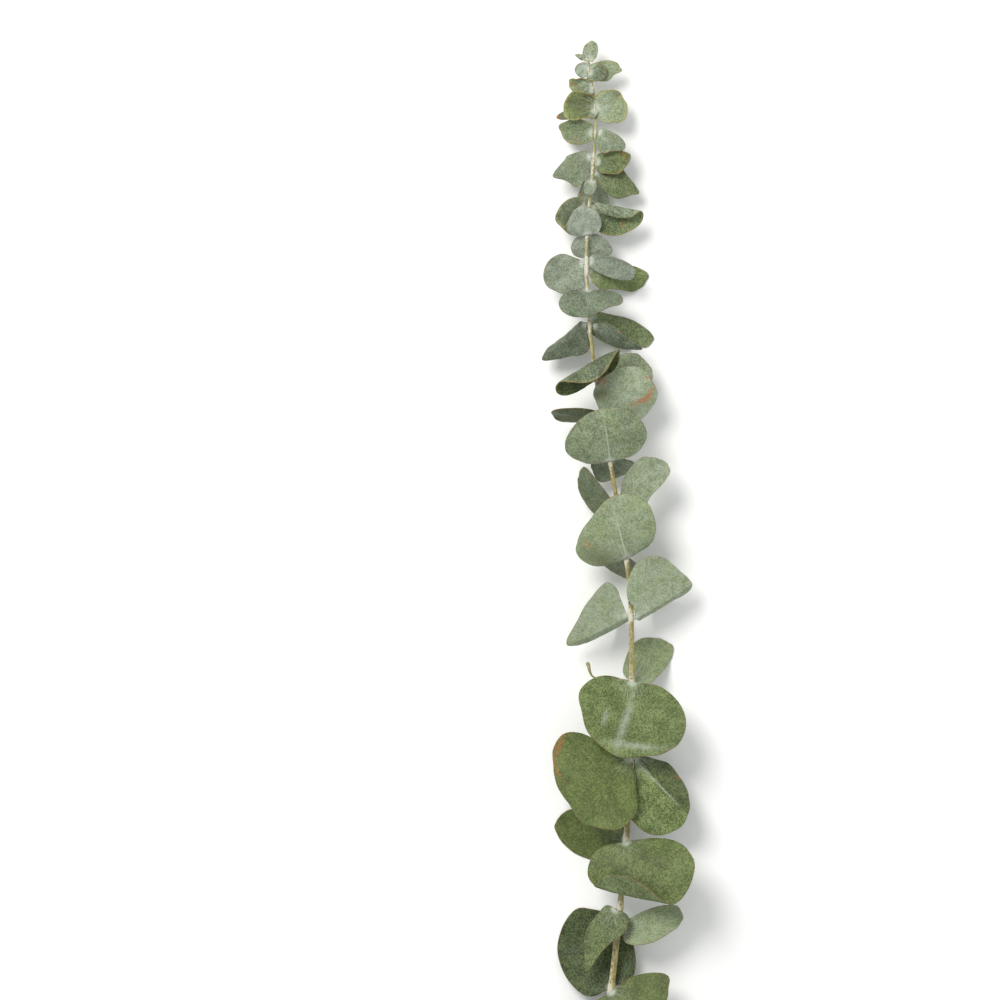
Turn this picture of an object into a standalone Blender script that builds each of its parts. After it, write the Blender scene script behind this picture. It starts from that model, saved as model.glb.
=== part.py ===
"""A preserved eucalyptus branch, cut and laid down.

The stem runs along Y with its growing tip at +Y. The branch rests on the foot of its stem and on the
leaves under it, so the lowest point is z = 0. The leaves stand in opposite pairs, each pair turned a
quarter round the stem from the one below. All sizes are in metres and all angles in degrees.
"""

import math
from collections import namedtuple

import bmesh
import bpy
import numpy as np

# Driving dimensions
STEM_FOOT_RADIUS = 0.0021
STEM_TIP_RADIUS = 0.0006
STEM_RINGS = 56
NODE_SWELLING = 0.22
NODE_LENGTH = 0.0030
BLADE_THICKNESS = 0.0007
SEAT_GAP = 0.0003
STEM_CLEARANCE = 0.0002
STALK_SHARE = 0.035
BASE_OPENING = 24.0
RING_SPREAD = 0.75
EDGE_STEPS = 97
PRESSED_FLAT = 0.0001
FOOT_SLANT = 0.8
BARE_NODES = (0.014, 0.047)
TWIG_RADIUS = 0.0005
TWIG_ROOT = 0.2935

# The place under the middle of the whole branch, which becomes the origin. Heights up the stem and the
# centre line below are measured from the cut foot.
MIDDLE = (-0.0041, 0.3230, 0.0)

# Centre line of the stem, from the cut foot to the growing tip.
STEM_ROUTE = (
    (-0.0170, 0.0000, 0.0021),
    (-0.0110, 0.0630, 0.0070),
    (-0.0044, 0.1240, 0.0125),
    (0.0033, 0.2050, 0.0190),
    (0.0062, 0.2700, 0.0220),
    (0.0060, 0.3290, 0.0230),
    (0.0033, 0.3620, 0.0230),
    (-0.0058, 0.4160, 0.0220),
    (-0.0146, 0.4700, 0.0195),
    (-0.0178, 0.5080, 0.0170),
    (-0.0180, 0.5400, 0.0150),
    (-0.0154, 0.5690, 0.0135),
    (-0.0132, 0.5970, 0.0125),
    (-0.0140, 0.6150, 0.0120),
    (-0.0164, 0.6280, 0.0120),
    (-0.0170, 0.6370, 0.0125),
)

# The bud twig, as steps from the middle of the stem at its root.
TWIG_STEPS = (
    (0.0000, 0.0000, 0.0000),
    (-0.0060, 0.0010, -0.0010),
    (-0.0160, 0.0010, -0.0025),
    (-0.0218, 0.0030, -0.0025),
    (-0.0240, 0.0090, -0.0015),
    (-0.0246, 0.0106, -0.0010),
)

# One leaf. height is where it is joined to the stem, and seat is the way round the stem: 0 on top, 90
# on the right. aim is the compass bearing of its midrib seen from above, 0 at the branch's tip and 90
# to its right. lift raises the midrib off the horizontal, and roll lowers the blade's right edge.
# droop bends the apex away from the upper face; left and right raise each half towards it, crease
# says how much of that is a fold at the midrib, and curl turns up both side margins. hem turns over the
# blade from the share fold_at of its length on, along a line at the given slant. point draws out the
# apex, lobe the two lobes beside the stalk, shoulder moves the widest place to the stalk, and skew
# slides the right half towards the apex. edge is how far the margin reaches, in per cent of an even
# blade, at equal steps round it from the left of the stalk over the apex to the right.
Leaf = namedtuple(
    "Leaf",
    "height seat aim lift roll length width droop left right crease"
    " hem twist point lobe ripple shoulder skew slant curl fold_at edge",
    defaults=(25.0, 8.0, 8.0, 0.0, 0.0, 0.0, 0.04, 0.06, 0.03, 1.2, 0.0, 0.0, 0.0, 0.74, (100, 100)),
)

# The big leaves, from the foot of the stem up.
LEAVES = {
    "leaf_01_left": Leaf(0.0790, -90, -98, 6, -12, 0.0360, 0.0420),
    "leaf_01_right": Leaf(0.0785, 90, 104, 2, 8, 0.0380, 0.0440, droop=18),
    "leaf_02_front": Leaf(
        0.1221, 0, 147.3, 36, 0, 0.0327, 0.0562, droop=42, shoulder=1.4,
        edge=(70, 85, 113, 102, 97, 97, 101, 104, 105, 106, 106, 106, 105),
    ),
    "leaf_02_back": Leaf(0.1235, 180, -24, -16, 0, 0.0470, 0.0420, droop=6),
    "leaf_03_left": Leaf(
        0.1680, -60, -148.9, 18, 25, 0.0319, 0.0201, point=0.12,
        edge=(131, 135, 111, 84, 78, 83, 106, 102, 98, 95, 80, 85, 97),
    ),
    "leaf_03_right": Leaf(
        0.1560, 90, 74.3, 14, -28, 0.0349, 0.0191, droop=16,
        edge=(85, 72, 70, 94, 113, 103, 95, 95, 97, 105, 124, 131, 110),
    ),
    "leaf_04_front": Leaf(
        0.2052, 0, 166, 42, 0, 0.0427, 0.0501, droop=55, hem=-168, skew=-0.15, slant=0.63,
        edge=(70, 129, 135, 124, 114, 108, 106, 104, 98, 95, 102, 90, 70),
    ),
    "leaf_04_back": Leaf(0.2060, 180, -84, -29, -20, 0.0460, 0.0310, droop=10),
    "leaf_05_left": Leaf(
        0.2510, -25, -125.4, 17, 8, 0.0437, 0.0522, droop=20, left=-4, right=4, lobe=-0.08,
        edge=(82, 90, 101, 110, 105, 102, 91, 99, 106, 119, 125, 103, 70),
    ),
    "leaf_05_right": Leaf(
        0.2510, 65, 137.1, 15, 6, 0.0540, 0.0414, left=-78, right=-20, crease=0.9, lobe=-0.08,
        curl=48,
        edge=(70, 88, 84, 79, 80, 77, 76, 88, 101, 118, 135, 135, 135),
    ),
    "leaf_06_front": Leaf(
        0.2932, 0, 187.4, 26, 0, 0.0431, 0.0509, droop=35, hem=-25, shoulder=1.5, skew=-0.07,
        edge=(70, 96, 124, 125, 113, 99, 96, 99, 104, 104, 114, 94, 70),
    ),
    "leaf_06_back": Leaf(
        0.2935, 180, 35, -46, 0, 0.0431, 0.0210, droop=0,
        edge=(82, 92, 99, 100, 96, 90, 89, 102, 118, 120, 109, 102, 98),
    ),
    "leaf_07_left": Leaf(
        0.3295, -90, -119, 8, -10, 0.0310, 0.0460, left=-100, crease=0.9, point=0.22, shoulder=3.4,
    ),
    "leaf_07_right": Leaf(
        0.3285, 90, 61.7, 8, 10, 0.0337, 0.0493, right=-110, crease=0.9, shoulder=0.95,
        edge=(70, 93, 113, 111, 108, 105, 107, 104, 100, 98, 97, 97, 97),
    ),
    "leaf_08_front": Leaf(
        0.3614, 0, -15, 34, 0, 0.0307, 0.0450, droop=38, left=-20, right=4, skew=0.2, curl=-10,
        edge=(70, 104, 124, 117, 111, 110, 113, 114, 104, 92, 88, 88, 70),
    ),
    "leaf_08_back": Leaf(0.3620, 180, -150, -58, 0, 0.0220, 0.0340, droop=5),
    "leaf_09_left": Leaf(
        0.3820, -90, -41.1, -8, -56, 0.0437, 0.0198, droop=15,
        edge=(106, 116, 117, 110, 93, 81, 76, 83, 96, 99, 107, 113, 108),
    ),
    "leaf_09_right": Leaf(
        0.3870, 75, 39.3, 10, 0, 0.0430, 0.0193, droop=20, lobe=-0.06,
        edge=(113, 118, 125, 120, 98, 86, 81, 87, 95, 72, 82, 103, 116),
    ),
    "leaf_10_front": Leaf(
        0.4147, 0, -8.6, 38, 0, 0.0277, 0.0424, droop=35, left=-8, right=4, skew=0.08,
        edge=(70, 93, 110, 111, 111, 111, 108, 109, 106, 105, 102, 91, 73),
    ),
    "leaf_10_back": Leaf(
        0.4153, 180, 178, -42, 0, 0.0164, 0.0260, droop=0,
        edge=(135, 134, 109, 90, 87, 84, 88, 103, 85, 76, 83, 99, 115),
    ),
    "leaf_11_left": Leaf(
        0.4400, -90, -97, -4, -74, 0.0289, 0.0230, droop=15, left=0, right=-6,
        edge=(100, 105, 108, 104, 98, 90, 86, 95, 108, 112, 108, 100, 95),
    ),
    "leaf_11_right": Leaf(
        0.4395, 70, 39.6, 24, 10, 0.0280, 0.0328, left=-10, right=-10, lobe=-0.05,
        edge=(70, 83, 87, 90, 98, 110, 113, 119, 124, 111, 107, 103, 94),
    ),
    "leaf_12_front": Leaf(
        0.4590, 0, -30, 5, 0, 0.0295, 0.0385, droop=-165, left=4, right=4,
        edge=(150, 142, 118, 100, 98, 100, 100, 100, 100, 100, 100, 100, 100),
    ),
    "leaf_12_back": Leaf(
        0.4660, 180, 89.9, -8, 0, 0.0411, 0.0178, droop=-10,
        edge=(60, 60, 70, 95, 83, 75, 74, 83, 99, 111, 118, 120, 119),
    ),
    "leaf_13_left": Leaf(
        0.4905, -90, -130.1, 4, 0, 0.0287, 0.0250, left=-5, right=-100, crease=0.9, point=0.1,
        lobe=-0.06,
        edge=(103, 103, 103, 91, 84, 90, 101, 105, 106, 105, 103, 102, 101),
    ),
    "leaf_13_right": Leaf(
        0.4895, 80, 119.1, 14, 18, 0.0254, 0.0111, droop=15, right=-40, crease=0.6, lobe=-0.04,
        edge=(81, 88, 90, 87, 83, 90, 114, 108, 109, 113, 115, 113, 107),
    ),
    "leaf_14_front": Leaf(
        0.5085, 0, 181, 62, 0, 0.0179, 0.0301, droop=62, skew=0.1,
        edge=(81, 97, 119, 131, 103, 97, 99, 105, 109, 108, 99, 83, 70),
    ),
    "leaf_14_back": Leaf(
        0.4935, 165, 109.9, -31, 0, 0.0471, 0.0163, droop=0,
        edge=(70, 70, 77, 97, 98, 95, 88, 93, 94, 111, 124, 131, 134),
    ),
    "leaf_15_left": Leaf(
        0.5235, -90, -123.1, 8, 0, 0.0223, 0.0225, droop=15, lobe=-0.08, curl=16,
        edge=(95, 102, 105, 103, 102, 100, 101, 109, 111, 112, 104, 89, 70),
    ),
    "leaf_15_right": Leaf(
        0.5250, 80, 108.2, 14, 15, 0.0285, 0.0108, droop=15,
        edge=(102, 105, 109, 108, 103, 96, 90, 97, 107, 108, 97, 90, 90),
    ),
    "leaf_15_back": Leaf(
        0.5200, 160, 104.5, -24, -30, 0.0402, 0.0222, droop=10, lobe=-0.06,
        edge=(80, 85, 90, 105, 124, 102, 84, 80, 70, 70, 88, 125, 150),
    ),
    "leaf_16_front": Leaf(
        0.5395, 0, -9, 40, 0, 0.0156, 0.0193, droop=45,
        edge=(93, 109, 115, 106, 101, 105, 105, 101, 97, 93, 92, 91, 91),
    ),
    "leaf_16_back": Leaf(
        0.5390, 180, 173.3, -19, 0, 0.0134, 0.0201, droop=-15,
        edge=(88, 98, 116, 135, 123, 99, 84, 94, 100, 97, 93, 88, 80),
    ),
    "leaf_17_left": Leaf(
        0.5550, -90, -113, 8, -6, 0.0180, 0.0260, droop=10, left=6, right=-30,
        edge=(70, 75, 90, 100, 104, 100, 100, 85, 70, 60, 55, 50, 50),
    ),
    "leaf_17_right": Leaf(
        0.5550, 90, 103, 8, 8, 0.0282, 0.0292, droop=15, left=275, right=12, curl=30,
        edge=(40, 60, 82, 92, 95, 97, 100, 98, 94, 95, 98, 80, 60),
    ),
    "leaf_18_front": Leaf(
        0.5690, 0, 187, 50, 0, 0.0092, 0.0074, droop=60,
        edge=(98, 90, 85, 86, 90, 94, 97, 104, 112, 115, 115, 110, 104),
    ),
    "leaf_18_back": Leaf(
        0.5688, 180, 178.5, -40, 0, 0.0213, 0.0163, droop=-20,
        edge=(70, 82, 104, 125, 117, 102, 96, 101, 104, 109, 87, 89, 101),
    ),
    "leaf_19_left": Leaf(
        0.5825, -80, -118.2, 8, -10, 0.0225, 0.0190, droop=5, right=-60, crease=0.9, curl=10,
        edge=(60, 75, 100, 120, 99, 93, 103, 91, 81, 88, 85, 83, 83),
    ),
    "leaf_19_right": Leaf(
        0.5800, 90, 96, 16, 0, 0.0203, 0.0135, droop=15, right=20, curl=30,
        edge=(86, 91, 98, 113, 113, 98, 83, 84, 94, 107, 111, 109, 108),
    ),
    "leaf_19_back": Leaf(
        0.5745, 120, 114.8, 1, -10, 0.0255, 0.0164, droop=5, point=0.1, lobe=-0.05,
        edge=(116, 113, 106, 96, 88, 93, 98, 97, 103, 114, 97, 89, 89),
    ),
    "leaf_20_left": Leaf(
        0.5960, -90, -87.7, -6, -5, 0.0189, 0.0142, droop=20, left=16, right=16, curl=30,
        edge=(85, 96, 105, 104, 99, 95, 94, 109, 105, 105, 103, 99, 98),
    ),
    "leaf_20_right": Leaf(
        0.5965, 80, 134, 24, 0, 0.0178, 0.0119, droop=5, left=10, right=10, curl=20,
        edge=(83, 70, 75, 98, 116, 113, 94, 90, 99, 124, 128, 112, 92),
    ),
}

# The leaves too small to be pieces of their own, which are one with the growing tip.
TIP_LEAVES = (
    Leaf(
        0.6100, -90, -86, 16, 0, 0.0181, 0.0162, droop=20, left=30, right=30, curl=25,
        edge=(85, 83, 91, 110, 117, 103, 93, 96, 104, 111, 106, 99, 98),
    ),
    Leaf(
        0.6100, 90, 84.5, 10, 5, 0.0174, 0.0191, droop=15, left=18, right=18, crease=0.3, curl=30,
        edge=(92, 90, 95, 105, 103, 96, 97, 106, 114, 116, 102, 92, 90),
    ),
    Leaf(0.6085, 0, -150, 35, 0, 0.0060, 0.0050, droop=30),
    Leaf(
        0.6215, -90, -90, 4, 0, 0.0132, 0.0098, droop=15, left=30, right=30, curl=40,
        edge=(101, 81, 70, 78, 89, 92, 92, 103, 120, 120, 116, 114, 114),
    ),
    Leaf(0.6205, 0, -130, 35, 0, 0.0070, 0.0060, droop=35),
    Leaf(
        0.6300, 80, 91.3, 8, 10, 0.0172, 0.0107, droop=10, point=0.15,
        edge=(94, 97, 105, 118, 116, 103, 92, 84, 91, 105, 107, 96, 92),
    ),
    Leaf(
        0.6290, 0, 112, 40, 0, 0.0097, 0.0114, droop=30, left=10, right=10,
        edge=(91, 100, 110, 120, 119, 109, 97, 87, 76, 70, 80, 106, 134),
    ),
    Leaf(
        0.6320, -90, -107.4, 14, -10, 0.0085, 0.0083,
        edge=(104, 108, 111, 109, 102, 96, 95, 96, 95, 93, 93, 97, 101),
    ),
    Leaf(
        0.6360, 0, 8.9, 6, 0, 0.0106, 0.0083, droop=10, point=0.1,
        edge=(101, 103, 104, 103, 100, 97, 95, 103, 108, 108, 100, 91, 88),
    ),
    Leaf(0.6360, -90, -68, 4, 0, 0.0080, 0.0030, droop=5),
    Leaf(
        0.6093, -90, -103, 4, 0, 0.0222, 0.0085, droop=8, left=0, right=0, point=0, ripple=0,
        edge=(30, 40, 52, 62, 82, 95, 100, 95, 82, 62, 52, 40, 30),
    ),
)
ALL_LEAVES = (*LEAVES.values(), *TIP_LEAVES)
NODE_HEIGHTS = sorted({*BARE_NODES, *(round(leaf.height, 3) for leaf in ALL_LEAVES)})


def smooth_route(points, count):
    """count points on a Catmull-Rom curve through the given ones, evenly spread between them."""
    knots = np.array([2 * np.array(points[0]) - points[1], *points, 2 * np.array(points[-1]) - points[-2]])
    places = np.linspace(0, len(points) - 1, count)
    start = np.minimum(places.astype(int), len(points) - 2)
    t = (places - start)[:, None]
    a, b, c, d = (knots[start + k] for k in range(4))
    return 0.5 * (2 * b + (c - a) * t + (2 * a - 5 * b + 4 * c - d) * t**2 + (3 * b - a - 3 * c + d) * t**3)


ROUTE = smooth_route(STEM_ROUTE, 1200)
ROUTE_HEIGHTS = ROUTE[:, 1].copy()
ROUTE -= MIDDLE


def stem_radius(height):
    """Radius of the stem at a height above its foot, swollen a little at each pair of leaves."""
    share = np.clip(height / STEM_ROUTE[-1][1], 0, 1)
    radius = STEM_FOOT_RADIUS + (STEM_TIP_RADIUS - STEM_FOOT_RADIUS) * share
    swelling = sum(np.exp(-(((height - node) / NODE_LENGTH) ** 2)) for node in NODE_HEIGHTS)
    return radius * (1 + NODE_SWELLING * np.minimum(swelling, 1))


def stem_point(height):
    """Point on the stem's centre line at a height above its foot."""
    return np.stack([np.interp(height, ROUTE_HEIGHTS, ROUTE[:, axis]) for axis in range(3)], axis=-1)


def flat_blade(leaf, s, t):
    """A point of the flat blade, (along, across): s runs from the stalk to the margin, t from -1 to 1."""
    turn = t * math.radians(180 - BASE_OPENING)
    lobes = leaf.lobe * np.exp(-(((np.abs(turn) - 2.35) / 0.4) ** 2))
    apex = leaf.point * np.exp(-((turn / 0.32) ** 2))
    across = leaf.width / 2 * np.sin(turn)
    along = leaf.length * (((1 + np.cos(turn)) / 2) ** leaf.shoulder - lobes + apex) + leaf.skew * across
    knots = smooth_route(np.array(leaf.edge)[:, None] / 100, EDGE_STEPS)[:, 0]
    reach = s * np.interp(t, np.linspace(-1, 1, EDGE_STEPS), knots)
    return reach * along, (1 - s) * t * STALK_SHARE * leaf.width + reach * across


def bent(distance, angles, reach):
    """Where a strip bent through the given angles has got to at each distance along it."""
    steps = np.linspace(0, reach, len(angles))
    spacing = steps[1]
    forward = np.concatenate([[0], np.cumsum(np.cos(angles[1:] / 2 + angles[:-1] / 2)) * spacing])
    sideways = np.concatenate([[0], np.cumsum(np.sin(angles[1:] / 2 + angles[:-1] / 2)) * spacing])
    return np.interp(distance, steps, forward), np.interp(distance, steps, sideways)


def shaped_blade(leaf, s, t, phase):
    """The same point in three dimensions: along the midrib, to its right, and above the upper face."""
    along, across = flat_blade(leaf, s, t)
    share = np.linspace(0, 1.5, 61)
    half = leaf.width / 2
    power = 1 - 0.8 * leaf.crease
    curled = math.radians(leaf.curl) * share**3
    left = bent(np.abs(across), math.radians(leaf.left) * share**power + curled, 1.5 * half)
    right = bent(np.abs(across), math.radians(leaf.right) * share**power + curled, 1.5 * half)
    side, rise = np.where(across < 0, (-left[0], left[1]), right)
    rise = rise + leaf.ripple * half * s**3 * np.sin(3 * math.pi * t + phase)
    turned = math.radians(leaf.twist) * along / leaf.length
    side, rise = (
        side * np.cos(turned) + rise * np.sin(turned),
        rise * np.cos(turned) - side * np.sin(turned),
    )
    folded = np.clip((share - leaf.fold_at) / 0.12, 0, 1)
    angles = math.radians(leaf.droop) * share + math.radians(leaf.hem) * folded
    slid = np.maximum(along + leaf.slant * across, 0)
    forward, sunk = bent(slid, angles, 1.5 * leaf.length)
    tilt = np.interp(slid / leaf.length, share, angles)
    forward = forward + along - slid
    return np.stack([forward + rise * np.sin(tilt), side, rise * np.cos(tilt) - sunk], axis=-1)


def leaf_axes(leaf):
    """Unit vectors along the midrib, to its right, and out of the upper face."""
    aim, lift, roll = (math.radians(a) for a in (leaf.aim, leaf.lift, leaf.roll))
    along = np.array([math.sin(aim) * math.cos(lift), math.cos(aim) * math.cos(lift), math.sin(lift)])
    right = np.array([math.cos(aim), -math.sin(aim), 0])
    up = np.cross(right, along)
    return along, right * math.cos(roll) - up * math.sin(roll), up * math.cos(roll) + right * math.sin(roll)


def placed_blade(leaf, s, t, phase, sunk):
    """Points of the leaf's middle surface, in the branch's frame, seated on the stem."""
    along, right, up = leaf_axes(leaf)
    local = shaped_blade(leaf, s, t, phase)
    points = local[..., :1] * along + local[..., 1:2] * right + local[..., 2:] * up
    seat = math.radians(leaf.seat)
    outward = np.array([math.sin(seat), 0, math.cos(seat)])
    gap = 0 if sunk else stem_radius(leaf.height) + SEAT_GAP + BLADE_THICKNESS / 2
    points = points + stem_point(leaf.height) + outward * gap
    if not sunk:
        points = clear_of_stem(points, outward)
    points[..., 2] = np.maximum(points[..., 2], BLADE_THICKNESS / 2)
    return points


def clear_of_stem(points, outward):
    """The points, with any that would touch the stem moved outward until they pass beside it."""
    heights = points[..., 1] + MIDDLE[1]
    offset = points - stem_point(heights)
    reach = offset @ outward
    aside = np.linalg.norm(offset - reach[..., None] * outward, axis=-1)
    limit = stem_radius(heights) + SEAT_GAP + BLADE_THICKNESS / 2 + STEM_CLEARANCE
    needed = np.sqrt(np.maximum(limit**2 - aside**2, 0))
    near = (aside < limit) & (reach > -limit) & (reach < needed)
    return points + np.where(near, needed - reach, 0)[..., None] * outward


def applied(obj):
    """The object's mesh with its modifiers applied."""
    bpy.context.view_layer.update()
    return bpy.data.meshes.new_from_object(obj.evaluated_get(bpy.context.evaluated_depsgraph_get()))


def make_leaf(name, collection, leaf, phase, cells, finish, sunk=False):
    """A leaf as an open sheet of triangles on its middle surface, thickened to both sides."""
    bm = bmesh.new()
    bmesh.ops.create_grid(bm, x_segments=cells[0], y_segments=cells[1], size=1)
    flat = np.array([vertex.co for vertex in bm.verts])
    points = placed_blade(leaf, ((flat[:, 0] + 1) / 2) ** RING_SPREAD, flat[:, 1], phase, sunk)
    for vertex, point in zip(bm.verts, points):
        vertex.co = point
    bmesh.ops.triangulate(bm, faces=bm.faces, quad_method="SHORT_EDGE")
    mesh = bpy.data.meshes.new(name)
    bm.to_mesh(mesh)
    bm.free()
    mesh.materials.append(finish)
    obj = bpy.data.objects.new(name, mesh)
    collection.objects.link(obj)
    thicken = obj.modifiers.new("thickness", "SOLIDIFY")
    thicken.thickness = BLADE_THICKNESS
    thicken.offset = 0
    obj.data = applied(obj)
    obj.modifiers.clear()
    for vertex in obj.data.vertices:
        if vertex.co.z < PRESSED_FLAT:
            vertex.co.z = 0
    obj.data.shade_smooth()
    return obj


def material(name, colour, roughness):
    made = bpy.data.materials.new(name)
    made.use_nodes = True
    shader = made.node_tree.nodes["Principled BSDF"]
    shader.inputs["Base Color"].default_value = (*colour, 1)
    shader.inputs["Roughness"].default_value = roughness
    return made


def make_rod(name, collection, points, radii, finish):
    """A round rod along the points, as a closed mesh."""
    curve = bpy.data.curves.new(name, "CURVE")
    curve.dimensions = "3D"
    curve.bevel_depth = 1
    curve.bevel_resolution = 2
    curve.use_fill_caps = True
    spline = curve.splines.new("POLY")
    spline.points.add(len(points) - 1)
    for knot, place, radius in zip(spline.points, points, radii):
        knot.co = (*place, 1)
        knot.radius = radius
    guide = bpy.data.objects.new(name, curve)
    collection.objects.link(guide)
    mesh = applied(guide)
    bpy.data.objects.remove(guide)
    bm = bmesh.new()
    bm.from_mesh(mesh)
    bmesh.ops.remove_doubles(bm, verts=bm.verts, dist=1e-5)
    bm.to_mesh(mesh)
    bm.free()
    mesh.materials.clear()
    mesh.materials.append(finish)
    mesh.shade_smooth()
    rod = bpy.data.objects.new(name, mesh)
    collection.objects.link(rod)
    return rod


def ring_heights():
    """Heights of the stem's rings: evenly spread, with three at each pair of leaves."""
    marks = np.array([node + step * NODE_LENGTH for node in NODE_HEIGHTS for step in (-1, 0, 1)])
    marks = marks[(marks > 0.001) & (marks < STEM_ROUTE[-1][1] - 0.001)]
    plain = np.linspace(0, STEM_ROUTE[-1][1], STEM_RINGS)
    plain = [height for height in plain if np.abs(marks - height).min() > 0.002]
    heights = np.array(sorted([*plain, *marks]))
    return heights[np.concatenate([[True], np.diff(heights) > 0.0009])]


def make_stem(collection, finish):
    heights = ring_heights()
    stem = make_rod("stem", collection, [stem_point(h) for h in heights], stem_radius(heights), finish)
    for vertex in stem.data.vertices:
        if vertex.co.y < 0.001 - MIDDLE[1]:
            vertex.co.y += FOOT_SLANT * (vertex.co.z - STEM_ROUTE[0][2])
    return stem


def make_bud_twig(collection, finish):
    """The short bare twig with a bud that grows to the left out of the sixth pair."""
    root = stem_point(TWIG_ROOT)
    points = [root + step for step in np.array(TWIG_STEPS)]
    radii = [TWIG_RADIUS * share for share in (1.3, 1, 1, 1, 2.1, 1.6)]
    return make_rod("bud_twig", collection, points, radii, finish)


def join(target, others):
    """The others made one solid with the target, and removed."""
    joined = bpy.data.collections.new("to_join")
    for obj in others:
        joined.objects.link(obj)
    union = target.modifiers.new("join", "BOOLEAN")
    union.operation = "UNION"
    union.operand_type = "COLLECTION"
    union.collection = joined
    union.solver = "EXACT"
    target.data = applied(target)
    target.modifiers.clear()
    for obj in others:
        bpy.data.objects.remove(obj)
    bpy.data.collections.remove(joined)


def main():
    for obj in list(bpy.data.objects):
        bpy.data.objects.remove(obj)
    branch = bpy.data.collections.new("eucalyptus_branch")
    bpy.context.scene.collection.children.link(branch)
    bark = material("bark", (0.36, 0.27, 0.12), 0.6)
    leaf_green = material("leaf_green", (0.17, 0.23, 0.12), 0.6)
    for number, (name, leaf) in enumerate(LEAVES.items()):
        cells = (3, 10) if leaf.length < 0.022 else (4, 12)
        if leaf.hem < -90 or leaf.left > 90:
            cells = (11, 14)
        make_leaf(name, branch, leaf, 2.4 * number, cells, leaf_green)
    stem = make_stem(branch, bark)
    growth = [make_bud_twig(branch, bark)]
    for number, leaf in enumerate(TIP_LEAVES):
        name = f"tip_{number:02d}"
        growth.append(make_leaf(name, branch, leaf, 2.4 * number, (3, 8), leaf_green, sunk=True))
    join(stem, growth)


if __name__ == "__main__":
    main()
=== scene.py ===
"""A preserved eucalyptus branch, cut and laid down on a pale floor.

Run it as a script in Blender 4.5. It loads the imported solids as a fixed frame, and one operator for each
kind of piece then makes the finished surfaces that stand for them: the leaf blades with their ribs, veins
and waxy bloom, the bark, the growing tip and the bud twig. Sizes are in metres and angles in degrees,
unless a name or a comment says otherwise. The stem runs along Y with its growing tip at +Y.
"""

import itertools
import math
from collections import namedtuple

import bpy
import mathutils
import numpy as np
from bpy.props import FloatProperty, FloatVectorProperty, IntProperty, PointerProperty
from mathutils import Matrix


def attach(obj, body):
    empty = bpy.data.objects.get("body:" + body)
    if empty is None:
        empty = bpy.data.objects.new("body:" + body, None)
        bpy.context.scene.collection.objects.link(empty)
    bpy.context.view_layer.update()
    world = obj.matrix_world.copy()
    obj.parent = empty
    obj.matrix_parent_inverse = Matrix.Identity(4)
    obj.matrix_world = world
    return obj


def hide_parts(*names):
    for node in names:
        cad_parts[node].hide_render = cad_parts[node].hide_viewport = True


bl_info = {
    "name": "Eucalyptus Branch",
    "version": (1, 0, 0),
    "blender": (4, 5, 0),
    "location": "View3D > Sidebar > Eucalyptus",
    "description": "Makes a preserved eucalyptus branch from its stem, leaves, growing tip and bud twig",
    "category": "Add Mesh",
}

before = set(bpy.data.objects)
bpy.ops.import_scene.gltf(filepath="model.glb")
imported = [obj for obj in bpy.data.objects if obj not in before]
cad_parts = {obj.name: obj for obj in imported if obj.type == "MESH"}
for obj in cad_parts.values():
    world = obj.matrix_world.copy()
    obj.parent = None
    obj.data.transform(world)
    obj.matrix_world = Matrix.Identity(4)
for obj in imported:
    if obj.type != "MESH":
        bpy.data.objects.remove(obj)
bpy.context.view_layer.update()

# Sizes shared with the solids
STEM_FOOT_RADIUS = 0.0021
STEM_TIP_RADIUS = 0.0006
NODE_SWELLING = 0.22
NODE_LENGTH = 0.0030
SOLID_THICKNESS = 0.0007
SEAT_GAP = 0.0003
STEM_CLEARANCE = 0.0002
STALK_SHARE = 0.035
EDGE_STEPS = 193
BASE_OPENING = 24.0
FLOOR_SOFTNESS = 0.0008
FOOT_SLANT = 0.8
BARE_NODES = (0.014, 0.047)
TWIG_RADIUS = 0.0005
TWIG_ROOT = 0.2935

# Where the two lobes of a leaf lie from its apex, how wide they and the apex are drawn, in radians, and
# where along its length a turned-over edge starts.
LOBE_TURN = 2.35
LOBE_SPREAD = 0.4
APEX_SPREAD = 0.32
FOLD_START = 0.74
FOLD_WIDTH = 0.12

# The grid of a blade: its last rings in from the margin, its last lines beside the stalk, where 1 is the
# edge, and how much closer the rings lie towards the margin and the lines towards the midrib.
RIM_RINGS_MM = (0.6, 0.4, 0.24, 0.12, 0.04, 0)
EDGE_LINES = (0.982, 0.988, 0.993, 0.9965, 0.999, 1)
RING_CROWDING = 0.85
MIDRIB_CROWDING = 0.6
TIP_DETAIL = (16, 44)

# Seeds of the noise, coarse then fine, and how far apart two leaves lie in it, so that no two are alike.
OUTLINE_SEEDS = (11, 12)
WAVE_SEEDS = (21, 22)
BARK_SEEDS = (31, 32)
NOISE_CELLS = 32
OUTLINE_STEP = 0.73
RIPPLE_STEP = 2.4
PATTERN_STEP_MM = 17.3

# The side veins: how steeply they leave the midrib, how far they fan out at the base, and how far apart
# they lie. Between them the blade is quilted.
VEIN_SLOPE = 0.42
VEIN_FAN = 1.35
BASE_VEINS = 2.5
VEIN_SPACING_MM = 5.5
VEIN_CROWDING = 0.8
QUILT_DEPTH = 0.00005

# The midrib's width at the apex and how much it gains towards the stalk, and the neck that joins a blade
# to the bark: its rows, its thickness at the bark, and how wide and how deep in it is rooted, as shares
# of the stem's radius.
RIB_MM = 0.16
RIB_GAIN_MM = 0.5
NECK_ROWS = 5
NECK_THICKNESS = 0.0007
NECK_WIDTH = 0.8
NECK_DEPTH = 0.5

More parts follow.
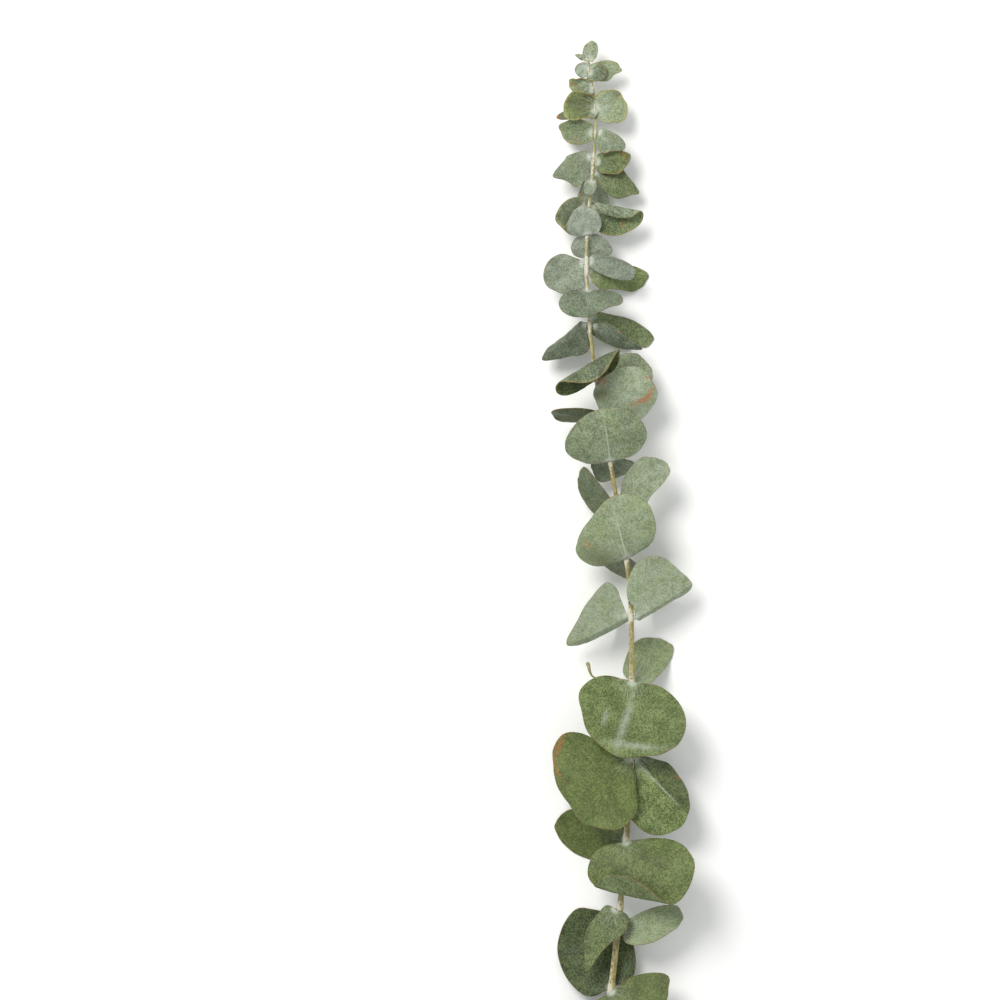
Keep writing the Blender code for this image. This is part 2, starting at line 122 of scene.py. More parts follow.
# The bark: its rings and sides, how far up the slant of the cut end shows, how far below its end the stem
# closes, how far the bark near a joint is waxed, and the leaf scars on the bare foot, whose angle is in
# radians.
BARK_RINGS = 760
BARK_SIDES = 28
SLANT_REACH = 0.002
TIP_CLOSING = 0.0006
JOINT_REACH = 0.0035
SCAR_ANGLE = 0.55
SCAR_HEIGHT = 0.0011
SCAR_RIM = 0.00045
SCAR_DEPTH = 0.0003

# The cut end's rings from the bark inward: share of the radius, and how far the face is hollowed there.
CUT_RINGS = ((0.93, 0.0), (0.88, 0.00012), (0.6, 0.00003), (0.3, 0.00005), (0.12, 0.00015))

# The bud twig: rings, sides, how thick it is at each of its steps, where its bud starts and ends, in
# steps, and how deep the bud's four seams are. Its bark is coloured like the stem's 0.3 m up, with steps
# of the given length in the pattern.
TWIG_RINGS = 70
TWIG_SIDES = 14
TWIG_GIRTH = (1.3, 1, 1, 1, 2.1, 1.6)
BUD_START = 3.4
BUD_END = 5.02
BUD_SEAM = 0.10
TWIG_STEP_MM = 4.5
TWIG_BARK_HEIGHT = 0.3

# The stage. The view's centre is the point on the branch that shows in the middle of the picture.
VIEW_CENTRE = (-0.0619, 0.0702, 0.02)
FLOOR_REACH = 4.0
FLOOR_DROP = 0.0003
SKY_COLOUR = (0.97, 0.985, 1, 1)
KEY_COLOUR = (1, 0.985, 0.96)
KEY_PLACE = (-0.75, 0.95, 1.5)
KEY_TARGET = (0, 0.05, 0)
KEY_WIDTH = 0.9
SENSOR_MM = 36
VIEW_REACH = 20

# The place under the middle of the whole branch, which is the origin. Heights up the stem and the centre
# line below are measured from the cut foot.
MIDDLE = (-0.0041, 0.3230, 0.0)

# Centre line of the stem, from the cut foot to the growing tip.
STEM_ROUTE = (
    (-0.0170, 0.0000, 0.0021),
    (-0.0110, 0.0630, 0.0070),
    (-0.0044, 0.1240, 0.0125),
    (0.0033, 0.2050, 0.0190),
    (0.0062, 0.2700, 0.0220),
    (0.0060, 0.3290, 0.0230),
    (0.0033, 0.3620, 0.0230),
    (-0.0058, 0.4160, 0.0220),
    (-0.0146, 0.4700, 0.0195),
    (-0.0178, 0.5080, 0.0170),
    (-0.0180, 0.5400, 0.0150),
    (-0.0154, 0.5690, 0.0135),
    (-0.0132, 0.5970, 0.0125),
    (-0.0140, 0.6150, 0.0120),
    (-0.0164, 0.6280, 0.0120),
    (-0.0170, 0.6370, 0.0125),
)

# The bud twig, as steps from the middle of the stem at its root.
TWIG_STEPS = (
    (0.0000, 0.0000, 0.0000),
    (-0.0060, 0.0010, -0.0010),
    (-0.0160, 0.0010, -0.0025),
    (-0.0218, 0.0030, -0.0025),
    (-0.0240, 0.0090, -0.0015),
    (-0.0246, 0.0106, -0.0010),
)

# One leaf. height is where it is joined to the stem, and seat is the way round the stem: 0 on top, 90
# on the right. aim is the compass bearing of its midrib seen from above, 0 at the branch's tip and 90
# to its right. lift raises the midrib off the horizontal, and roll lowers the blade's right edge.
# droop bends the apex away from the upper face; left and right raise each half towards it, crease
# says how much of that is a fold at the midrib, and curl turns up both side margins. hem turns over the
# blade's end from FOLD_START on, along a line at the given slant. point draws out the apex, lobe draws
# in the two lobes beside the stalk, shoulder moves the widest place to the stalk, and skew slides the
# right half towards the apex. edge is how far the margin reaches, in per cent of an even blade, at
# equal steps round it from the left of the stalk over the apex to the right.
Leaf = namedtuple(
    "Leaf",
    "height seat aim lift roll length width droop left right crease"
    " hem point lobe ripple shoulder skew slant curl edge",
    defaults=(25.0, 8.0, 8.0, 0.0, 0.0, 0.04, 0.06, 0.03, 1.2, 0.0, 0.0, 0.0, (100, 100)),
)

# The big leaves, from the foot of the stem up.
LEAVES = {
    "leaf_01_left": Leaf(0.0790, -90, -98, 6, -12, 0.0360, 0.0420),
    "leaf_01_right": Leaf(0.0785, 90, 104, 2, 8, 0.0380, 0.0440, droop=18),
    "leaf_02_front": Leaf(
        0.1221, 0, 147.3, 36, 0, 0.0327, 0.0562, droop=42, shoulder=1.4,
        edge=(70, 85, 113, 102, 97, 97, 101, 104, 105, 106, 106, 106, 105),
    ),
    "leaf_02_back": Leaf(0.1235, 180, -24, -16, 0, 0.0470, 0.0420, droop=6),
    "leaf_03_left": Leaf(
        0.1680, -60, -148.9, 18, 25, 0.0319, 0.0201, point=0.12,
        edge=(131, 135, 111, 84, 78, 83, 106, 102, 98, 95, 80, 85, 97),
    ),
    "leaf_03_right": Leaf(
        0.1560, 90, 74.3, 14, -28, 0.0349, 0.0191, droop=16,
        edge=(85, 72, 70, 94, 113, 103, 95, 95, 97, 105, 124, 131, 110),
    ),
    "leaf_04_front": Leaf(
        0.2052, 0, 166, 42, 0, 0.0427, 0.0501, droop=55, hem=-168, skew=-0.15, slant=0.63,
        edge=(70, 129, 135, 124, 114, 108, 106, 104, 98, 95, 102, 90, 70),
    ),
    "leaf_04_back": Leaf(0.2060, 180, -84, -29, -20, 0.0460, 0.0310, droop=10),
    "leaf_05_left": Leaf(
        0.2510, -25, -125.4, 17, 8, 0.0437, 0.0522, droop=20, left=-4, right=4, lobe=-0.08,
        edge=(82, 90, 101, 110, 105, 102, 91, 99, 106, 119, 125, 103, 70),
    ),
    "leaf_05_right": Leaf(
        0.2510, 65, 137.1, 15, 6, 0.0540, 0.0414, left=-78, right=-20, crease=0.9, lobe=-0.08,
        curl=48,
        edge=(70, 88, 84, 79, 80, 77, 76, 88, 101, 118, 135, 135, 135),
    ),
    "leaf_06_front": Leaf(
        0.2932, 0, 187.4, 26, 0, 0.0431, 0.0509, droop=35, hem=-25, shoulder=1.5, skew=-0.07,
        edge=(70, 96, 124, 125, 113, 99, 96, 99, 104, 104, 114, 94, 70),
    ),
    "leaf_06_back": Leaf(
        0.2935, 180, 35, -46, 0, 0.0431, 0.0210, droop=0,
        edge=(82, 92, 99, 100, 96, 90, 89, 102, 118, 120, 109, 102, 98),
    ),
    "leaf_07_left": Leaf(
        0.3295, -90, -119, 8, -10, 0.0310, 0.0460, left=-100, crease=0.9, point=0.22, shoulder=3.4,
    ),
    "leaf_07_right": Leaf(
        0.3285, 90, 61.7, 8, 10, 0.0337, 0.0493, right=-110, crease=0.9, shoulder=0.95,
        edge=(70, 93, 113, 111, 108, 105, 107, 104, 100, 98, 97, 97, 97),
    ),
    "leaf_08_front": Leaf(
        0.3614, 0, -15, 34, 0, 0.0307, 0.0450, droop=38, left=-20, right=4, skew=0.2, curl=-10,
        edge=(70, 104, 124, 117, 111, 110, 113, 114, 104, 92, 88, 88, 70),
    ),
    "leaf_08_back": Leaf(0.3620, 180, -150, -58, 0, 0.0220, 0.0340, droop=5),
    "leaf_09_left": Leaf(
        0.3820, -90, -41.1, -8, -56, 0.0437, 0.0198, droop=15,
        edge=(106, 116, 117, 110, 93, 81, 76, 83, 96, 99, 107, 113, 108),
    ),
    "leaf_09_right": Leaf(
        0.3870, 75, 39.3, 10, 0, 0.0430, 0.0193, droop=20, lobe=-0.06,
        edge=(113, 118, 125, 120, 98, 86, 81, 87, 95, 72, 82, 103, 116),
    ),
    "leaf_10_front": Leaf(
        0.4147, 0, -8.6, 38, 0, 0.0277, 0.0424, droop=35, left=-8, right=4, skew=0.08,
        edge=(70, 93, 110, 111, 111, 111, 108, 109, 106, 105, 102, 91, 73),
    ),
    "leaf_10_back": Leaf(
        0.4153, 180, 178, -42, 0, 0.0164, 0.0260, droop=0,
        edge=(135, 134, 109, 90, 87, 84, 88, 103, 85, 76, 83, 99, 115),
    ),
    "leaf_11_left": Leaf(
        0.4400, -90, -97, -4, -74, 0.0289, 0.0230, droop=15, left=0, right=-6,
        edge=(100, 105, 108, 104, 98, 90, 86, 95, 108, 112, 108, 100, 95),
    ),
    "leaf_11_right": Leaf(
        0.4395, 70, 39.6, 24, 10, 0.0280, 0.0328, left=-10, right=-10, lobe=-0.05,
        edge=(70, 83, 87, 90, 98, 110, 113, 119, 124, 111, 107, 103, 94),
    ),
    "leaf_12_front": Leaf(
        0.4590, 0, -30, 5, 0, 0.0295, 0.0385, droop=-165, left=4, right=4,
        edge=(150, 142, 118, 100, 98, 100, 100, 100, 100, 100, 100, 100, 100),
    ),
    "leaf_12_back": Leaf(
        0.4660, 180, 89.9, -8, 0, 0.0411, 0.0178, droop=-10,
        edge=(60, 60, 70, 95, 83, 75, 74, 83, 99, 111, 118, 120, 119),
    ),
    "leaf_13_left": Leaf(
        0.4905, -90, -130.1, 4, 0, 0.0287, 0.0250, left=-5, right=-100, crease=0.9, point=0.1,
        lobe=-0.06,
        edge=(103, 103, 103, 91, 84, 90, 101, 105, 106, 105, 103, 102, 101),
    ),
    "leaf_13_right": Leaf(
        0.4895, 80, 119.1, 14, 18, 0.0254, 0.0111, droop=15, right=-40, crease=0.6, lobe=-0.04,
        edge=(81, 88, 90, 87, 83, 90, 114, 108, 109, 113, 115, 113, 107),
    ),
    "leaf_14_front": Leaf(
        0.5085, 0, 181, 62, 0, 0.0179, 0.0301, droop=62, skew=0.1,
        edge=(81, 97, 119, 131, 103, 97, 99, 105, 109, 108, 99, 83, 70),
    ),
    "leaf_14_back": Leaf(
        0.4935, 165, 109.9, -31, 0, 0.0471, 0.0163, droop=0,
        edge=(70, 70, 77, 97, 98, 95, 88, 93, 94, 111, 124, 131, 134),
    ),
    "leaf_15_left": Leaf(
        0.5235, -90, -123.1, 8, 0, 0.0223, 0.0225, droop=15, lobe=-0.08, curl=16,
        edge=(95, 102, 105, 103, 102, 100, 101, 109, 111, 112, 104, 89, 70),
    ),
    "leaf_15_right": Leaf(
        0.5250, 80, 108.2, 14, 15, 0.0285, 0.0108, droop=15,
        edge=(102, 105, 109, 108, 103, 96, 90, 97, 107, 108, 97, 90, 90),
    ),
    "leaf_15_back": Leaf(
        0.5200, 160, 104.5, -24, -30, 0.0402, 0.0222, droop=10, lobe=-0.06,
        edge=(80, 85, 90, 105, 124, 102, 84, 80, 70, 70, 88, 125, 150),
    ),
    "leaf_16_front": Leaf(
        0.5395, 0, -9, 40, 0, 0.0156, 0.0193, droop=45,
        edge=(93, 109, 115, 106, 101, 105, 105, 101, 97, 93, 92, 91, 91),
    ),
    "leaf_16_back": Leaf(
        0.5390, 180, 173.3, -19, 0, 0.0134, 0.0201, droop=-15,
        edge=(88, 98, 116, 135, 123, 99, 84, 94, 100, 97, 93, 88, 80),
    ),
    "leaf_17_left": Leaf(
        0.5550, -90, -113, 8, -6, 0.0180, 0.0260, droop=10, left=6, right=-30,
        edge=(70, 75, 90, 100, 104, 100, 100, 85, 70, 60, 55, 50, 50),
    ),
    "leaf_17_right": Leaf(
        0.5550, 90, 103, 8, 8, 0.0282, 0.0292, droop=15, left=275, right=12, curl=30,
        edge=(40, 60, 82, 92, 95, 97, 100, 98, 94, 95, 98, 80, 60),
    ),
    "leaf_18_front": Leaf(
        0.5690, 0, 187, 50, 0, 0.0092, 0.0074, droop=60,
        edge=(98, 90, 85, 86, 90, 94, 97, 104, 112, 115, 115, 110, 104),
    ),
    "leaf_18_back": Leaf(
        0.5688, 180, 178.5, -40, 0, 0.0213, 0.0163, droop=-20,
        edge=(70, 82, 104, 125, 117, 102, 96, 101, 104, 109, 87, 89, 101),
    ),
    "leaf_19_left": Leaf(
        0.5825, -80, -118.2, 8, -10, 0.0225, 0.0190, droop=5, right=-60, crease=0.9, curl=10,
        edge=(60, 75, 100, 120, 99, 93, 103, 91, 81, 88, 85, 83, 83),
    ),
    "leaf_19_right": Leaf(
        0.5800, 90, 96, 16, 0, 0.0203, 0.0135, droop=15, right=20, curl=30,
        edge=(86, 91, 98, 113, 113, 98, 83, 84, 94, 107, 111, 109, 108),
    ),
    "leaf_19_back": Leaf(
        0.5745, 120, 114.8, 1, -10, 0.0255, 0.0164, droop=5, point=0.1, lobe=-0.05,
        edge=(116, 113, 106, 96, 88, 93, 98, 97, 103, 114, 97, 89, 89),
    ),
    "leaf_20_left": Leaf(
        0.5960, -90, -87.7, -6, -5, 0.0189, 0.0142, droop=20, left=16, right=16, curl=30,
        edge=(85, 96, 105, 104, 99, 95, 94, 109, 105, 105, 103, 99, 98),
    ),
    "leaf_20_right": Leaf(
        0.5965, 80, 134, 24, 0, 0.0178, 0.0119, droop=5, left=10, right=10, curl=20,
        edge=(83, 70, 75, 98, 116, 113, 94, 90, 99, 124, 128, 112, 92),
    ),
}

# The leaves too small to be pieces of their own, which are one with the growing tip.
TIP_LEAVES = (
    Leaf(
        0.6100, -90, -86, 16, 0, 0.0181, 0.0162, droop=20, left=30, right=30, curl=25,
        edge=(85, 83, 91, 110, 117, 103, 93, 96, 104, 111, 106, 99, 98),
    ),
    Leaf(
        0.6100, 90, 84.5, 10, 5, 0.0174, 0.0191, droop=15, left=18, right=18, crease=0.3, curl=30,
        edge=(92, 90, 95, 105, 103, 96, 97, 106, 114, 116, 102, 92, 90),
    ),
    Leaf(0.6085, 0, -150, 35, 0, 0.0060, 0.0050, droop=30),
    Leaf(
        0.6215, -90, -90, 4, 0, 0.0132, 0.0098, droop=15, left=30, right=30, curl=40,
        edge=(101, 81, 70, 78, 89, 92, 92, 103, 120, 120, 116, 114, 114),
    ),
    Leaf(0.6205, 0, -130, 35, 0, 0.0070, 0.0060, droop=35),
    Leaf(
        0.6300, 80, 91.3, 8, 10, 0.0172, 0.0107, droop=10, point=0.15,
        edge=(94, 97, 105, 118, 116, 103, 92, 84, 91, 105, 107, 96, 92),
    ),
    Leaf(
        0.6290, 0, 112, 40, 0, 0.0097, 0.0114, droop=30, left=10, right=10,
        edge=(91, 100, 110, 120, 119, 109, 97, 87, 76, 70, 80, 106, 134),
    ),
    Leaf(
        0.6320, -90, -107.4, 14, -10, 0.0085, 0.0083,
        edge=(104, 108, 111, 109, 102, 96, 95, 96, 95, 93, 93, 97, 101),
    ),
    Leaf(
        0.6360, 0, 8.9, 6, 0, 0.0106, 0.0083, droop=10, point=0.1,
        edge=(101, 103, 104, 103, 100, 97, 95, 103, 108, 108, 100, 91, 88),
    ),
    Leaf(0.6360, -90, -68, 4, 0, 0.0080, 0.0030, droop=5),
    Leaf(
        0.6093, -90, -103, 4, 0, 0.0222, 0.0085, droop=8, left=0, right=0, point=0, ripple=0,
        edge=(30, 40, 52, 62, 82, 95, 100, 95, 82, 62, 52, 40, 30),
    ),
)
ALL_LEAVES = (*LEAVES.values(), *TIP_LEAVES)
NODE_HEIGHTS = sorted({*BARE_NODES, *(round(leaf.height, 3) for leaf in ALL_LEAVES)})


# How one leaf is coloured: light from -1 to 1, partly the leaf's own colour and partly painted light and
# shade, warm from -1, bluish, to 1, olive, bloom from 0 to 1, spots from 0, clean, to 1, freckled all over,
# margin, how far it has turned yellow along its edge, half, painted light and shade: how much lighter its
# right half is painted than its left, where the two halves face the light differently, and midrib, how white
# its midrib is on the upper face.
Look = namedtuple(
    "Look", "light warm bloom spots margin half midrib", defaults=(0.0, 0.0, 0.3, 0.0, 0.0, 0.0, 0.15)
)
LOOKS = {
    "leaf_01_left": Look(-0.1, 0.3, 0.2),
    "leaf_01_right": Look(0.0, 0.35, 0.15),
    "leaf_02_front": Look(-0.7, 1.0, 0.0),
    "leaf_02_back": Look(-1.2, 0.0, 0.0),
    "leaf_03_left": Look(-0.5, 0.35, 0.05),
    "leaf_03_right": Look(0.7, 0.65, 0.6),
    "leaf_04_front": Look(-0.45, 0.7, 0.0),
    "leaf_04_back": Look(-0.7, 1.0, 0.0),
    "leaf_05_left": Look(-0.45, 1.0, 0.0),
    # Its left half, folded down away from the light, is painted darker: painted shade.
    "leaf_05_right": Look(-0.15, 0.25, 0.0, half=0.55, midrib=0.0),
    "leaf_06_front": Look(-0.1, 0.5, 0.0),
    "leaf_06_back": Look(0.65, 0.75, 0.5, midrib=0.6),
    "leaf_07_left": Look(0.35, 1.0, 0.85),
    "leaf_07_right": Look(1.15, 0.5, 0.85),
    "leaf_08_front": Look(0.4, 0.65, 0.6, midrib=1.0),
    "leaf_08_back": Look(-1.1, 1.0, 0.65),
    "leaf_09_left": Look(-1.2, 0.2, 0.2),
    "leaf_09_right": Look(0.2, 0.55, 0.75),
    "leaf_10_front": Look(0.05, 0.2, 0.45, midrib=0.8),
    "leaf_10_back": Look(-0.65, 0.0, 0.8),
    "leaf_11_left": Look(-0.95, 0.6, 0.0),
    "leaf_11_right": Look(1.2, 0.35, 0.85, spots=0.35),
    "leaf_12_front": Look(-0.9, 0.25, 0.0, margin=0.4),
    "leaf_12_back": Look(-0.15, 0.45, 0.6),
    "leaf_13_left": Look(-1.2, -0.4, 0.15),
    "leaf_13_right": Look(-1.2, -0.4, 0.25),
    "leaf_14_front": Look(-0.65, -0.4, 0.3, midrib=0.3),
    "leaf_14_back": Look(0.4, 0.2, 0.15),
    "leaf_15_left": Look(-0.8, -0.15, 0.75, midrib=0.3),
    "leaf_15_right": Look(-1.2, -0.7, 0.65),
    "leaf_15_back": Look(0.2, 0.5, 0.05),
    "leaf_16_front": Look(-0.45, -1.0, 0.9),
    "leaf_16_back": Look(-1.2, -0.5, 0.9),
    "leaf_17_left": Look(-1.2, 0.3, 0.25, margin=0.6),
    "leaf_17_right": Look(0.0, 0.0, 0.1, margin=0.4),
    "leaf_18_front": Look(-0.35, -0.4, 0.45),
    # Painted light: lighter than its own colour, against the shadow that the stem and other leaves cast on
    # it.
    "leaf_18_back": Look(1.2, -0.3, 0.9),
    "leaf_19_left": Look(-0.85, 0.4, 0.5),
    "leaf_19_right": Look(-0.7, 0.7, 0.05, margin=0.4),
    "leaf_19_back": Look(-0.55, 0.6, 0.15),
    "leaf_20_left": Look(-0.45, 0.45, 0.3, margin=0.5),
    "leaf_20_right": Look(-0.6, 0.45, 0.5),
}

# The same for the leaves of the growing tip, in the order of their table.
TIP_LOOKS = (
    # Its right half is painted a little darker, as painted shade in its cupped blade.
    Look(-0.05, 0.5, 0.05, margin=1.0, half=-0.25),
    Look(0.65, 0.25, 0.6, margin=0.9),
    Look(0.2, 0.0, 0.4),
    Look(0.2, 0.4, 0.4, spots=0.1, margin=0.8),
    Look(0.1, -0.1, 0.4),
    Look(0.8, 0.35, 0.7, margin=0.6),
    Look(-0.7, -0.2, 0.15, margin=0.3),
    Look(0.4, -0.6, 0.85),
    Look(0.5, 0.1, 0.6, margin=0.4),
    Look(0.3, 0.2, 0.4),
    Look(0.0, -0.2, 0.4, spots=0.2),
)

# Marks that single leaves have. rust is orange-brown, and shade a dark patch: painted shade on the lower
# strip of leaf_08_front and in the cup of the first tip leaf, and a dark stain on leaf_11_right and at the
# grey-brown end of the last tip leaf. crease is a pale line where the bloom has gathered, and along
# leaf_05_right's midrib also a painted highlight on the ridge of its fold. across and along are the place of
# its middle on the flat blade, from the stalk, and turn is the angle of its length from the midrib, in
# degrees. Sizes are in millimetres.
Mark = namedtuple("Mark", "kind across along length width turn", defaults=(0.0,))
MARK_KINDS = ("rust", "shade", "crease")
MARKS = {
    "leaf_05_left": (
        Mark("rust", 29.0, 26.5, 26, 5, -33),
        Mark("rust", 17.5, 35.5, 14, 3, -78),
    ),
    "leaf_05_right": (
        Mark("rust", -14.5, 24.0, 9, 2.5, -20),
        # This crease along the midrib is partly a pale line of bloom and partly a painted highlight on the
        # ridge of the fold.
        Mark("crease", 0.0, 19.0, 30, 1.2, 0),
    ),
    "leaf_06_back": (Mark("crease", 2.0, 16.0, 20, 2.2, 0),),
    "leaf_06_front": (
        Mark("crease", 1.6, 24.0, 28, 4.6, 11),
        Mark("crease", -5.0, 35.0, 28, 3.6, 90),
        Mark("crease", 12.5, 22.0, 10, 2.6, 10),
    ),
    "leaf_08_front": (
        Mark("rust", -19.4, 13.6, 9, 3.2, -26),
        # Painted shade: a darker strip along the blade's lower edge, which faces away from the light.
        Mark("shade", -15.0, 4.0, 28, 12, -66),
    ),
    "leaf_11_right": (
        Mark("rust", -13.0, 14.5, 9, 4.5, 20),
        Mark("rust", 12.0, 25.0, 15, 4, -5),
        Mark("rust", 9.5, 17.5, 12, 3, 30),
        Mark("rust", 5.0, 30.5, 3.2, 3.2),
        Mark("shade", -9.5, 8.0, 13, 7, 45),
    ),
    "leaf_13_right": (Mark("rust", -3.8, 15.0, 3.5, 2),),
    "leaf_17_right": (Mark("rust", 5.0, 18.5, 8, 2.5, 90),),
    "leaf_19_right": (
        Mark("rust", -6.0, 14.0, 9, 3, 60),
        Mark("rust", 5.0, 16.0, 8, 3, -30),
    ),
    "leaf_18_back": (Mark("rust", 6.0, 8.0, 14, 2.5, 0),),
    "leaf_20_left": (Mark("rust", -4.0, 9.5, 6, 2, 60),),
    # Painted shade in the hollow of the cupped blade.
    "tip_00": (Mark("shade", 0.0, 8.0, 16, 11, 0),),
    "tip_01": (
        Mark("rust", -2.7, 13.0, 5, 1.8, 60),
        Mark("crease", 2.0, 8.0, 14, 1.6, 20),
        Mark("crease", -3.0, 8.0, 12, 1.4, -20),
    ),
    "tip_03": (Mark("rust", 1.5, 10.0, 6, 2, 40),),
    "tip_10": (
        Mark("shade", 0.0, 19.0, 10, 12),
        Mark("rust", 0.0, 21.0, 3, 4),
    ),
}


def smooth_route(points, count):
    """count points on a Catmull-Rom curve through the given ones, evenly spread between them."""
    knots = np.array([2 * np.array(points[0]) - points[1], *points, 2 * np.array(points[-1]) - points[-2]])
    places = np.linspace(0, len(points) - 1, count)
    start = np.minimum(places.astype(int), len(points) - 2)
    t = (places - start)[:, None]
    a, b, c, d = (knots[start + k] for k in range(4))
    return 0.5 * (2 * b + (c - a) * t + (2 * a - 5 * b + 4 * c - d) * t**2 + (3 * b - a - 3 * c + d) * t**3)


ROUTE = smooth_route(STEM_ROUTE, 1200)
ROUTE_HEIGHTS = ROUTE[:, 1].copy()
ROUTE -= MIDDLE
STEM_TOP = STEM_ROUTE[-1][1]


def stem_radius(height):
    """Radius of the stem at a height above its foot, swollen a little at each pair of leaves."""
    share = np.clip(height / STEM_TOP, 0, 1)
    radius = STEM_FOOT_RADIUS + (STEM_TIP_RADIUS - STEM_FOOT_RADIUS) * share
    swelling = sum(np.exp(-(((height - node) / NODE_LENGTH) ** 2)) for node in NODE_HEIGHTS)
    return radius * (1 + NODE_SWELLING * np.minimum(swelling, 1))


def stem_point(height):
    """Point on the stem's centre line at a height above its foot."""
    return np.stack([np.interp(height, ROUTE_HEIGHTS, ROUTE[:, axis]) for axis in range(3)], axis=-1)


def flat_blade(leaf, s, t, outline):
    """A point of the flat blade, (along, across): s runs from the stalk to the margin, t from -1 to 1."""
    turn = t * math.radians(180 - BASE_OPENING)
    lobes = leaf.lobe * np.exp(-(((np.abs(turn) - LOBE_TURN) / LOBE_SPREAD) ** 2))
    apex = leaf.point * np.exp(-((turn / APEX_SPREAD) ** 2))
    across = leaf.width / 2 * np.sin(turn)
    along = leaf.length * (((1 + np.cos(turn)) / 2) ** leaf.shoulder - lobes + apex) + leaf.skew * across
    knots = smooth_route(np.array(leaf.edge)[:, None] / 100, EDGE_STEPS)[:, 0]
    reach = s * outline * np.interp(t, np.linspace(-1, 1, EDGE_STEPS), knots)
    return reach * along, (1 - s) * t * STALK_SHARE * leaf.width + reach * across


def bent(distance, angles, reach):
    """Where a strip bent through the given angles has got to at each distance along it."""
    steps = np.linspace(0, reach, len(angles))
    spacing = steps[1]
    between = angles[1:] / 2 + angles[:-1] / 2
    forward = np.concatenate([[0], np.cumsum(np.cos(between)) * spacing])
    sideways = np.concatenate([[0], np.cumsum(np.sin(between)) * spacing])
    return np.interp(distance, steps, forward), np.interp(distance, steps, sideways)


def shaped_blade(leaf, along, across, s, t, phase):
    """The same point in three dimensions: along the midrib, to its right, and above the upper face."""
    share = np.linspace(0, 1.5, 121)
    half = leaf.width / 2
    power = 1 - 0.8 * leaf.crease
    curled = math.radians(leaf.curl) * share**3
    left, right = (
        bent(np.abs(across), math.radians(raised) * share**power + curled, 1.5 * half)
        for raised in (leaf.left, leaf.right)
    )
    side, rise = np.where(across < 0, (-left[0], left[1]), right)
    rise = rise + leaf.ripple * half * s**3 * np.sin(3 * math.pi * t + phase)
    folded = np.clip((share - FOLD_START) / FOLD_WIDTH, 0, 1)
    angles = math.radians(leaf.droop) * share + math.radians(leaf.hem) * folded
    slid = np.maximum(along + leaf.slant * across, 0)
    forward, sunk = bent(slid, angles, 1.5 * leaf.length)
    tilt = np.interp(slid / leaf.length, share, angles)
    forward = forward + along - slid
    return np.stack([forward + rise * np.sin(tilt), side, rise * np.cos(tilt) - sunk], axis=-1)


def leaf_axes(leaf):
    """Unit vectors along the midrib, to its right, and out of the upper face."""
    aim, lift, roll = (math.radians(a) for a in (leaf.aim, leaf.lift, leaf.roll))
    along = np.array([math.sin(aim) * math.cos(lift), math.cos(aim) * math.cos(lift), math.sin(lift)])
    right = np.array([math.cos(aim), -math.sin(aim), 0])
    up = np.cross(right, along)
    return along, right * math.cos(roll) - up * math.sin(roll), up * math.cos(roll) + right * math.sin(roll)


def outward_of(leaf):
    """The unit vector from the stem's centre line to the leaf's seat."""
    seat = math.radians(leaf.seat)
    return np.array([math.sin(seat), 0, math.cos(seat)])


def clear_of_stem(points, outward):
    """The points, with any that would touch the stem moved outward until they pass beside it."""
    heights = points[..., 1] + MIDDLE[1]
    offset = points - stem_point(heights)
    reach = offset @ outward
    aside = np.linalg.norm(offset - reach[..., None] * outward, axis=-1)
    limit = stem_radius(heights) + SEAT_GAP + SOLID_THICKNESS / 2 + STEM_CLEARANCE
    needed = np.sqrt(np.maximum(limit**2 - aside**2, 0))
    near = (aside < limit) & (reach > -limit) & (reach < needed)
    return points + np.where(near, needed - reach, 0)[..., None] * outward


def placed_blade(leaf, along, across, s, t, phase, sunk):
    """Points of the leaf's middle surface, in the branch's frame, seated on the stem and off the floor."""
    axes = leaf_axes(leaf)
    local = shaped_blade(leaf, along, across, s, t, phase)
    points = sum(local[..., k : k + 1] * axes[k] for k in range(3))
    gap = 0 if sunk else stem_radius(leaf.height) + SEAT_GAP + SOLID_THICKNESS / 2
    points = points + stem_point(leaf.height) + outward_of(leaf) * gap
    if not sunk:
        points = clear_of_stem(points, outward_of(leaf))
    above = points[..., 2] - SOLID_THICKNESS / 2
    points[..., 2] += 0.5 * (np.sqrt(above**2 + FLOOR_SOFTNESS**2) - above)
    return points


def value_noise(points, size, seed):
    """Smooth noise from -1 to 1 at the points, its features as large as the given size."""
    table = np.random.default_rng(seed).uniform(-1, 1, (NOISE_CELLS, NOISE_CELLS, NOISE_CELLS))
    cell = points / size
    whole = np.floor(cell).astype(int)
    part = cell - whole
    part = part * part * (3 - 2 * part)
    total = np.zeros(points.shape[:-1])
    for corner in itertools.product((0, 1), repeat=3):
        weight = np.prod(np.where(corner, part, 1 - part), axis=-1)
        i, j, k = np.moveaxis((whole + corner) % NOISE_CELLS, -1, 0)
        total += weight * table[i, j, k]
    return total


def ring_places(leaf, count):
    """Where the rings of a blade lie between stalk and margin, with the last ones close to its round edge."""
    reach_mm = 1000 * (leaf.length + leaf.width) / 4
    first, *last = RIM_RINGS_MM
    inner = np.linspace(0, 1, count) ** RING_CROWDING * (1 - first / reach_mm)
    return np.concatenate([inner, 1 - np.array(last) / reach_mm])


def spoke_places(count):
    """Where the lines from stalk to margin lie, closer along the midrib and at the blade's two edges."""
    even = np.linspace(-1, 1, count)
    first, *last = EDGE_LINES
    inner = (even - MIDRIB_CROWDING * np.sin(2 * math.pi * even) / (2 * math.pi)) * first
    return np.concatenate([-np.array(last[::-1]), inner, last])


